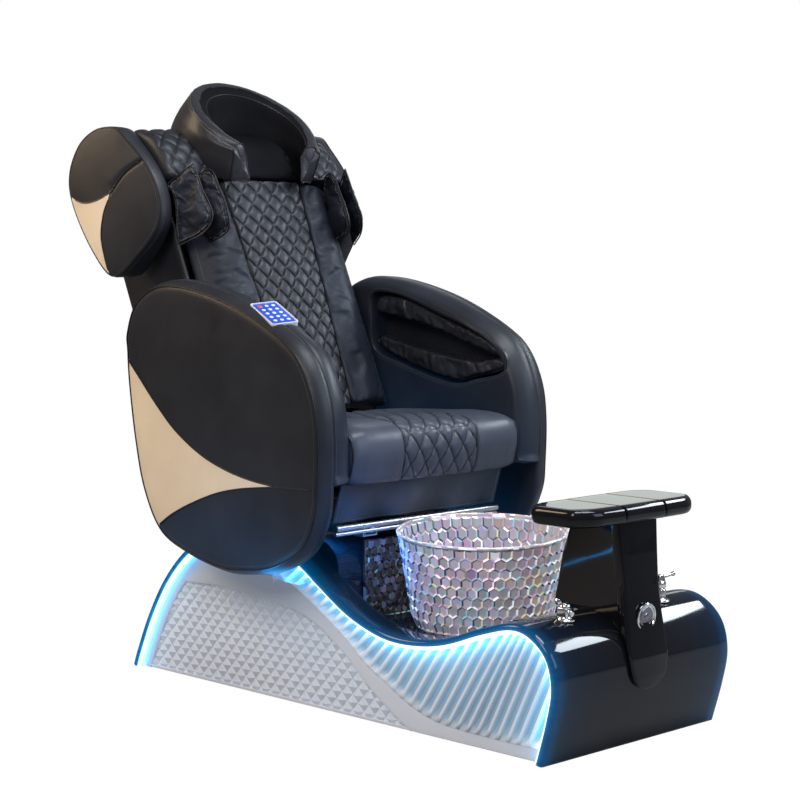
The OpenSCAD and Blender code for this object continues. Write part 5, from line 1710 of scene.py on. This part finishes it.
wingShape = {
    "loop": [(12, 600), (13, 545), (30, 498), (69, 467), (121, 445), (181, 424), (214, 440),
             (239, 506), (255, 582), (261, 651), (254, 701), (230, 744), (187, 779), (132, 787),
             (80, 764), (55, 718), (28, 658)],
    "insertTop": [(320, 720), (260, 664), (222, 631), (177, 619), (141, 621)],
    "insertLow": [(150, 606), (175, 578), (200, 524), (209, 437), (210, 400)],
    "seam": [(141, 619), (111, 637), (81, 650), (35, 658)],
    "mid": (136, 610), "front": 315, "splay": 0.25, "around": 300, "inside": 284.4,
    "band": 7,
}


def seamDepth(v, u, line, deep, width):
    near = min((p[0] - v) ** 2 + (p[1] - u) ** 2 for p in line)
    return deep * math.exp(-near / (width * width))


def wingForm(s, side):
    base = closedLine(s["loop"], s["around"])
    seam = walk(smooth(s["seam"], 6), 80)

    def onFace(v, u, out, share=1):
        return onBack(side * (s["front"] + out + s["splay"] * share * v), v, u)
    rings = []
    for f in (0.02, 0.1, 0.18, 0.26, 0.34, 0.42, 0.5, 0.57, 0.63, 0.69, 0.74, 0.78, 0.82, 0.855,
              0.885, 0.91, 0.93, 0.95, 0.965):
        ring = []
        for v, u in (scaled(s["mid"], p, f) for p in base):
            ring.append(onFace(v, u, 7 * (1 - f ** 3.2) - seamDepth(v, u, seam, 4.5, 5)))
        rings.append(ring)
    for f, out, share in ((0.977, -0.2, 1), (0.988, -1.8, 1), (0.996, -4.6, 1), (1.0, -8, 1),
                          (1.002, -12, 0.9), (1.003, -16, 0.75), (1.002, -20, 0.6),
                          (0.998, -24, 0.4), (0.99, -27.5, 0.2), (0.975, -30, 0.05)):
        rings.append([onFace(*scaled(s["mid"], p, f), out, share) for p in base])
    for f, x in ((0.95, s["inside"]), (0.90, s["inside"] - 0.2), (0.56, s["inside"] - 0.2),
                 (0.54, 259), (0.2, 258.8)):
        rings.append([onBack(side * x, *scaled(s["mid"], p, f)) for p in base])
    return ringForm(rings)


def makeWing(s, side, name):
    top, low = smooth(s["insertTop"], 6), smooth(s["insertLow"], 6)
    wing = newPiece("wingPad_" + name, wingForm(s, side), blackLeather, "back",
                    ["wing_" + name], 50)
    insert = newPiece("wingInsert_" + name, wingForm(s, side), beigeLeather, "back",
                      ["wing_insert_" + name], 50)
    tool = prismTool(top + low + [(330, 400)], side * 520, side * 312, onBack)
    cutBy(wing, tool, "DIFFERENCE")
    cutBy(insert, tool, "INTERSECT")
    bpy.data.objects.remove(tool)
    base = closedLine(s["loop"], 240)

    def onFace(v, u, out):
        return onBack(side * (s["front"] + out + s["splay"] * v), v, u)
    cords = [tubeForm([onFace(*scaled(s["mid"], p, 0.985), -1.2) for p in base], 2.1,
                      closed=True)]
    shape = surfaceOf(wing)

    def lain(path, rise):
        out = []
        for v, u in path:
            spot, normal = shape.find_nearest(Vector(onFace(v, u, 6)) * mm)[:2]
            out.append(tuple((spot + normal * rise * mm) / mm))
        return out
    inside = [p for p in top if p[0] < 252] + smooth(s["seam"], 6)[1:]
    cords.append(tubeForm(lain(walk(inside, 90), 0.2), 1.9))
    cords.append(tubeForm(lain(walk([p for p in low if p[1] > 440], 60), 0.2), 1.9))
    newPiece("wingPiping_" + name, joinForms(cords), pipingLeather, "back")
    front = unbroken([p for p in drawnIn(base, s["band"])
                      if p[0] < 182 and (p[0] < 100 or p[1] < 560)], 25)
    rows = [lain(front, 0), [onFace(*p, -12) for p in base]]
    sewn("wingStitches_" + name, rows, wing, "back", blackThread)


bothSides(makeWing, wingShape)
print("wings made")

# ---- shoulder air cushions ----

leafShape = {
    "places": [(24, (-268, -4, 428),
                [(-8, 189), (-19, 160), (-30, 124), (-45, 91), (-53, 64), (-46, 38), (-20, 17),
                 (14, 6), (40, 0), (46, 20), (43, 62), (44, 107), (52, 132), (62, 150),
                 (30, 169)]),
               (10, (-203, -14, 432),
                [(40, 163), (12, 171), (-6, 158), (-22, 116), (-37, 73), (-42, 34), (-30, 12),
                 (12, 0), (46, 2), (55, 60), (54, 118)])],
    "thick": 8,
    "voxel": 3.6, "pressure": 2.6, "slack": 0.16, "cap": 9, "frames": 18, "bend": 0.15,
}


def makeLeaves(s, side, name):
    for k, (turn, at, corners) in enumerate(s["places"]):
        line = walk(smooth(corners, 5) + [corners[0]], 120, closed=True)
        place = (Matrix.Translation(at) @ Matrix.Rotation(math.radians(turn), 4, "Z")
                 @ Matrix.Rotation(math.radians(14), 4, "X"))

        def spot(a, b, t, place=place):
            p = place @ Vector((t, a, b))
            return onBack(-side * p.x, p.y, p.z)
        bag = newPiece("shoulderCushion%d_%s" % (k, name), padForm(line, spot, s["thick"]),
                       dullLeather, "back",
                       ["shoulder_airbags_" + name] if k == 0 else (), 0)
        seam = [Vector(spot(a, b, 0)) for a, b in line]

        def pinned(co, seam=seam):
            return min((co - p).length_squared for p in seam) < 20
        puffed(bag, s, pinned)
        cord = tubeForm([spot(a, b, 0) for a, b in line], 1.7, closed=True)
        newPiece("shoulderCushionPiping%d_%s" % (k, name), cord, pipingLeather, "back")
        mid = middle(line)
        rows = [[spot(*scaled(mid, p, 0.87, 0.92), t) for p in line] for t in (-10, 10)]
        sewn("shoulderCushionStitches%d_%s" % (k, name), rows, bag, "back", greyThread,
             {"pitch": 4.6, "long": 2.8, "wide": 0.7})


bothSides(makeLeaves, leafShape)
print("shoulder cushions made")

# ---- head pillow ----

pillowShape = {"radius": 185, "rear": (540, 130), "sweep": 131, "around": 130, "tip": 9}


def pillowLoop(s, a):
    # the collar's section at angle a: foot, widest, outer rim, inner rim, inner wall, heel
    r = s["radius"]
    c, n = math.cos(math.radians(a)), math.sin(math.radians(a))
    lift = (1 + c) / 2

    def rimZ(y):
        return 1274 + 0.78 * (y - 454)

    def oval(rx, cy, ry, z):
        return (rx * n, cy + ry * c, z)
    ty, iy = s["rear"][0] + s["rear"][1] * c, 530 + 103 * c
    top = oval(r - 10, s["rear"][0], s["rear"][1], rimZ(ty))
    wide = oval(r, 592 - 40 * (1 - lift), r - 20, 1240 + 100 * lift)
    foot = oval(r - 14, 585 - 14 * (1 - lift), r - 36, 1174 + 104 * lift)
    heel = oval(112, 533, 110, 1176 + 90 * lift)
    inner = oval(116, 533, 100, 1240 + 80 * lift)
    rim = oval(134, 530, 103, rimZ(iy) - 2)
    return foot, wide, top, rim, inner, heel


def makePillow(s):
    rings, seamIn, rows = [], [], [[], []]
    n = s["around"]
    for k in range(-n // 2, n // 2 + 1):
        t = k / (n / 2)
        a = s["sweep"] * t
        foot, wide, top, rim, inner, heel = (Vector(p) for p in pillowLoop(s, a))
        across = rim - top
        up = (top - foot).normalized()
        way, out = across.normalized(), (wide - inner).normalized()
        corner = [foot, foot.lerp(wide, 0.45) + out * 4, wide, wide.lerp(top, 0.5) + out * 5,
                  top - up * 5 - way * 0.5, top + across * 0.02 + up * 0.5,
                  top + across * 0.16 + up * 5.0, top + across * 0.5 + up * 6.6,
                  top + across * 0.84 + up * 4.2, rim + up * 0.2,
                  rim.lerp(inner, 0.12) + way * 1.5, rim.lerp(inner, 0.5), inner,
                  inner.lerp(heel, 0.6), heel, heel.lerp(foot, 0.35), heel.lerp(foot, 0.7)]
        loop = [Vector(p) for p in closedLine([tuple(c) for c in corner], 110, 6)]
        mid = sum(loop, Vector()) / len(loop)
        ring = []
        for p in loop:
            w = 2.2 * ripple(p.x, p.y, p.z, 0.02, 4) + 0.9 * ripple(p.x, p.y, p.z, 0.07, 6)
            dip = 2.6 * math.exp(-((p - top).length / 3.6) ** 2)
            out = (p - mid).normalized()
            ring.append(p + out * (w * 0.5 - dip))
        rings.append((mid, ring))
        if abs(k) < n // 2 - 1:
            seamIn.append(tuple(rim))
            rows[0].append(tuple(top + (wide - top).normalized() * 5))
            rows[1].append(tuple(top + way * 5))
    final = [[tuple(p) for p in ring] for mid, ring in rings[1:-1]]

    def endRings(mid, ring, along):
        out = []
        for j in range(7):
            w = j / 6 * math.pi / 2
            push = s["tip"] * math.sin(w)
            pull = s["tip"] * (1 - math.cos(w))
            out.append([tuple(p + along * push + (mid - p).normalized() * pull) for p in ring])
        for f in (0.6, 0.25):
            out.append([tuple(mid + (Vector(p) - mid) * f + along * s["tip"])
                        for p in out[6]])
        return out
    tips = [(mid, ring, (mid - within[0]).normalized())
            for (mid, ring), within in ((rings[1], rings[3]), (rings[-2], rings[-4]))]
    head, tail = (endRings(*tip) for tip in tips)
    form = ringForm(head[:0:-1] + final + tail[1:])
    for at, ring, along in tips:
        tip = [v for v in form.verts if (v.co / mm - at).dot(along) > -16
               and (v.co / mm - at).length < 150]
        for _ in range(10):
            softened(form, tip)
    pillow = newPiece("headPillow", form, softPillow, "back", ["head_pillow"], 0)
    # painted shade: the collar's inward faces and the shoulder block within its hollow take the
    # near-black leather
    for part in (pillow, bpy.data.objects["shoulderBlock"]):
        part.data.materials.append(shadeLeather)
        for face in part.data.polygons:
            x, y = face.center.x / mm, face.center.y / mm - 530
            inward = -(face.normal.x * x + face.normal.y * y) / math.hypot(x, y)
            if (x / 150) ** 2 + (y / 120) ** 2 < 1 and (inward > 0.25 or part != pillow):
                face.material_index = 1
    cords = [tubeForm(ring, 1.8, closed=True) for ring in (head[3], tail[3])]
    newPiece("pillowPiping", joinForms(cords + [tubeForm(seamIn, 1.6)]), pipingLeather, "back")
    sewn("pillowStitches", rows, pillow, "back", greyThread, {"pitch": 4.8, "long": 3.2})


makePillow(pillowShape)
print("pillow made")

# ---- keypad ----

keypadShape = {"place": (-322, 98, 885), "tilt": 24, "turn": -9, "roll": -5, "wide": 68,
               "long": 106, "mat": (59, 97), "key": 4.6, "rowStep": 17.5, "columnStep": 17,
               "firstRow": -35}


def keypadPlace(s):
    return (Matrix.Translation(Vector(s["place"]) * mm)
            @ Matrix.Rotation(math.radians(s["turn"]), 4, "Z")
            @ Matrix.Rotation(math.radians(s["tilt"]), 4, "X")
            @ Matrix.Rotation(math.radians(s["roll"]), 4, "Y"))


def roundedSlab(wide, long, low, high, corner, edge):
    bm = bmesh.new()
    bmesh.ops.create_cube(bm, size=1)
    bmesh.ops.scale(bm, vec=(wide * mm, long * mm, (high - low) * mm), verts=bm.verts)
    bmesh.ops.translate(bm, vec=(0, 0, (high + low) / 2 * mm), verts=bm.verts)
    upright = [e for e in bm.edges if abs(e.verts[0].co.z - e.verts[1].co.z) > 0.0001]
    bevelled(bm, upright, corner, 6)
    topEdges = [e for e in bm.edges if all(v.co.z > (high - 0.01) * mm for v in e.verts)]
    if edge:
        bevelled(bm, topEdges, edge, 3)
    return bm


def makeKeypad(s):
    spot = keypadPlace(s)
    room = roundedSlab(s["wide"] + 1, s["long"] + 1, -7, 30, 6, 0)
    bmesh.ops.transform(room, matrix=spot, verts=room.verts)
    tool = objectFrom("tool", room)
    for part in ("armOuter_right", "armInner_right"):
        cutBy(bpy.data.objects[part], tool, "DIFFERENCE")
    bpy.data.objects.remove(tool)
    sewing = bpy.data.objects["armStitches_right"].data
    kept = bmesh.new()
    kept.from_mesh(sewing)
    local = spot.inverted()
    under = [v for v in kept.verts if abs((local @ v.co).x) < 0.6 * s["wide"] * mm
             and abs((local @ v.co).y) < 0.55 * s["long"] * mm]
    bmesh.ops.delete(kept, geom=under, context="VERTS")
    kept.to_mesh(sewing)
    kept.free()
    case = roundedSlab(s["wide"], s["long"], -6, 6, 6, 1.4)
    top = [f for f in case.faces if f.normal.z > 0.99 and f.calc_area() > 0.002]
    bmesh.ops.inset_region(case, faces=top, thickness=2.2 * mm)
    bmesh.ops.translate(case, vec=(0, 0, -5.5 * mm),
                        verts=list({v for f in top for v in f.verts}))
    bmesh.ops.transform(case, matrix=spot, verts=case.verts)
    newPiece("keypadFrame", case, keypadWhite, "seat", ["keypad_case"], 35)
    mat = roundedSlab(*s["mat"], 1.8, 4.4, 4, 0.5)
    bmesh.ops.transform(mat, matrix=spot, verts=mat.verts)
    newPiece("keypadMat", mat, keypadBlue, "keys", ["key_mat"], 35)
    keys = []
    profile = [(0.01, 5.5), (3.6, 5.4), (4.5, 5.0), (s["key"], 4.3), (s["key"], 3.8)]
    for i in range(5):
        for j in (-1, 0, 1):
            if i == 4 and j < 0:
                continue
            x, y = s["columnStep"] * j, s["firstRow"] + s["rowStep"] * i
            key = turned(profile, 20, (x, y, 0))
            bmesh.ops.transform(key, matrix=spot, verts=key.verts)
            keys.append(key)
    newPiece("keypadKeys", joinForms(keys), keyTop, "keys", (), 35)
    knob = turned([(0.01, 5.8), (4.2, 5.7), (5.2, 5.2), (5.9, 4.2), (6, 1.2), (6, -1)], 24,
                  (-17, 35, 0))
    bmesh.ops.transform(knob, matrix=spot, verts=knob.verts)
    newPiece("powerKey", knob, keyRed, "power_key", ["power_key"], 35)


makeKeypad(keypadShape)
print("keypad made")

# ---- finishes of the remaining frame parts ----

nodeFinishes = {
    "framePaint": ["base_frame", "seat_frame", "back_frame"],
    "darkPlastic": ["levelling_feet", "drain_pump", "control_box", "seat_motors",
                    "massage_carriage"],
    "chrome": ["bowl_drain", "drain_stopper", "recline_pins", "lift_screw"],
    "brushedSteel": ["slide_rails", "cross_bars", "roller_arm_left", "roller_arm_right"],
    "rollerTyre": ["roller_upper_left", "roller_upper_right", "roller_lower_left",
                   "roller_lower_right"],
}
for finish, names in nodeFinishes.items():
    for obj in (o for o in bpy.context.scene.objects if o.name in names and o.type == "MESH"):
        for spot in obj.material_slots:
            spot.material = bpy.data.materials[finish]
        if not obj.material_slots:
            obj.data.materials.append(bpy.data.materials[finish])
print("finishes set")
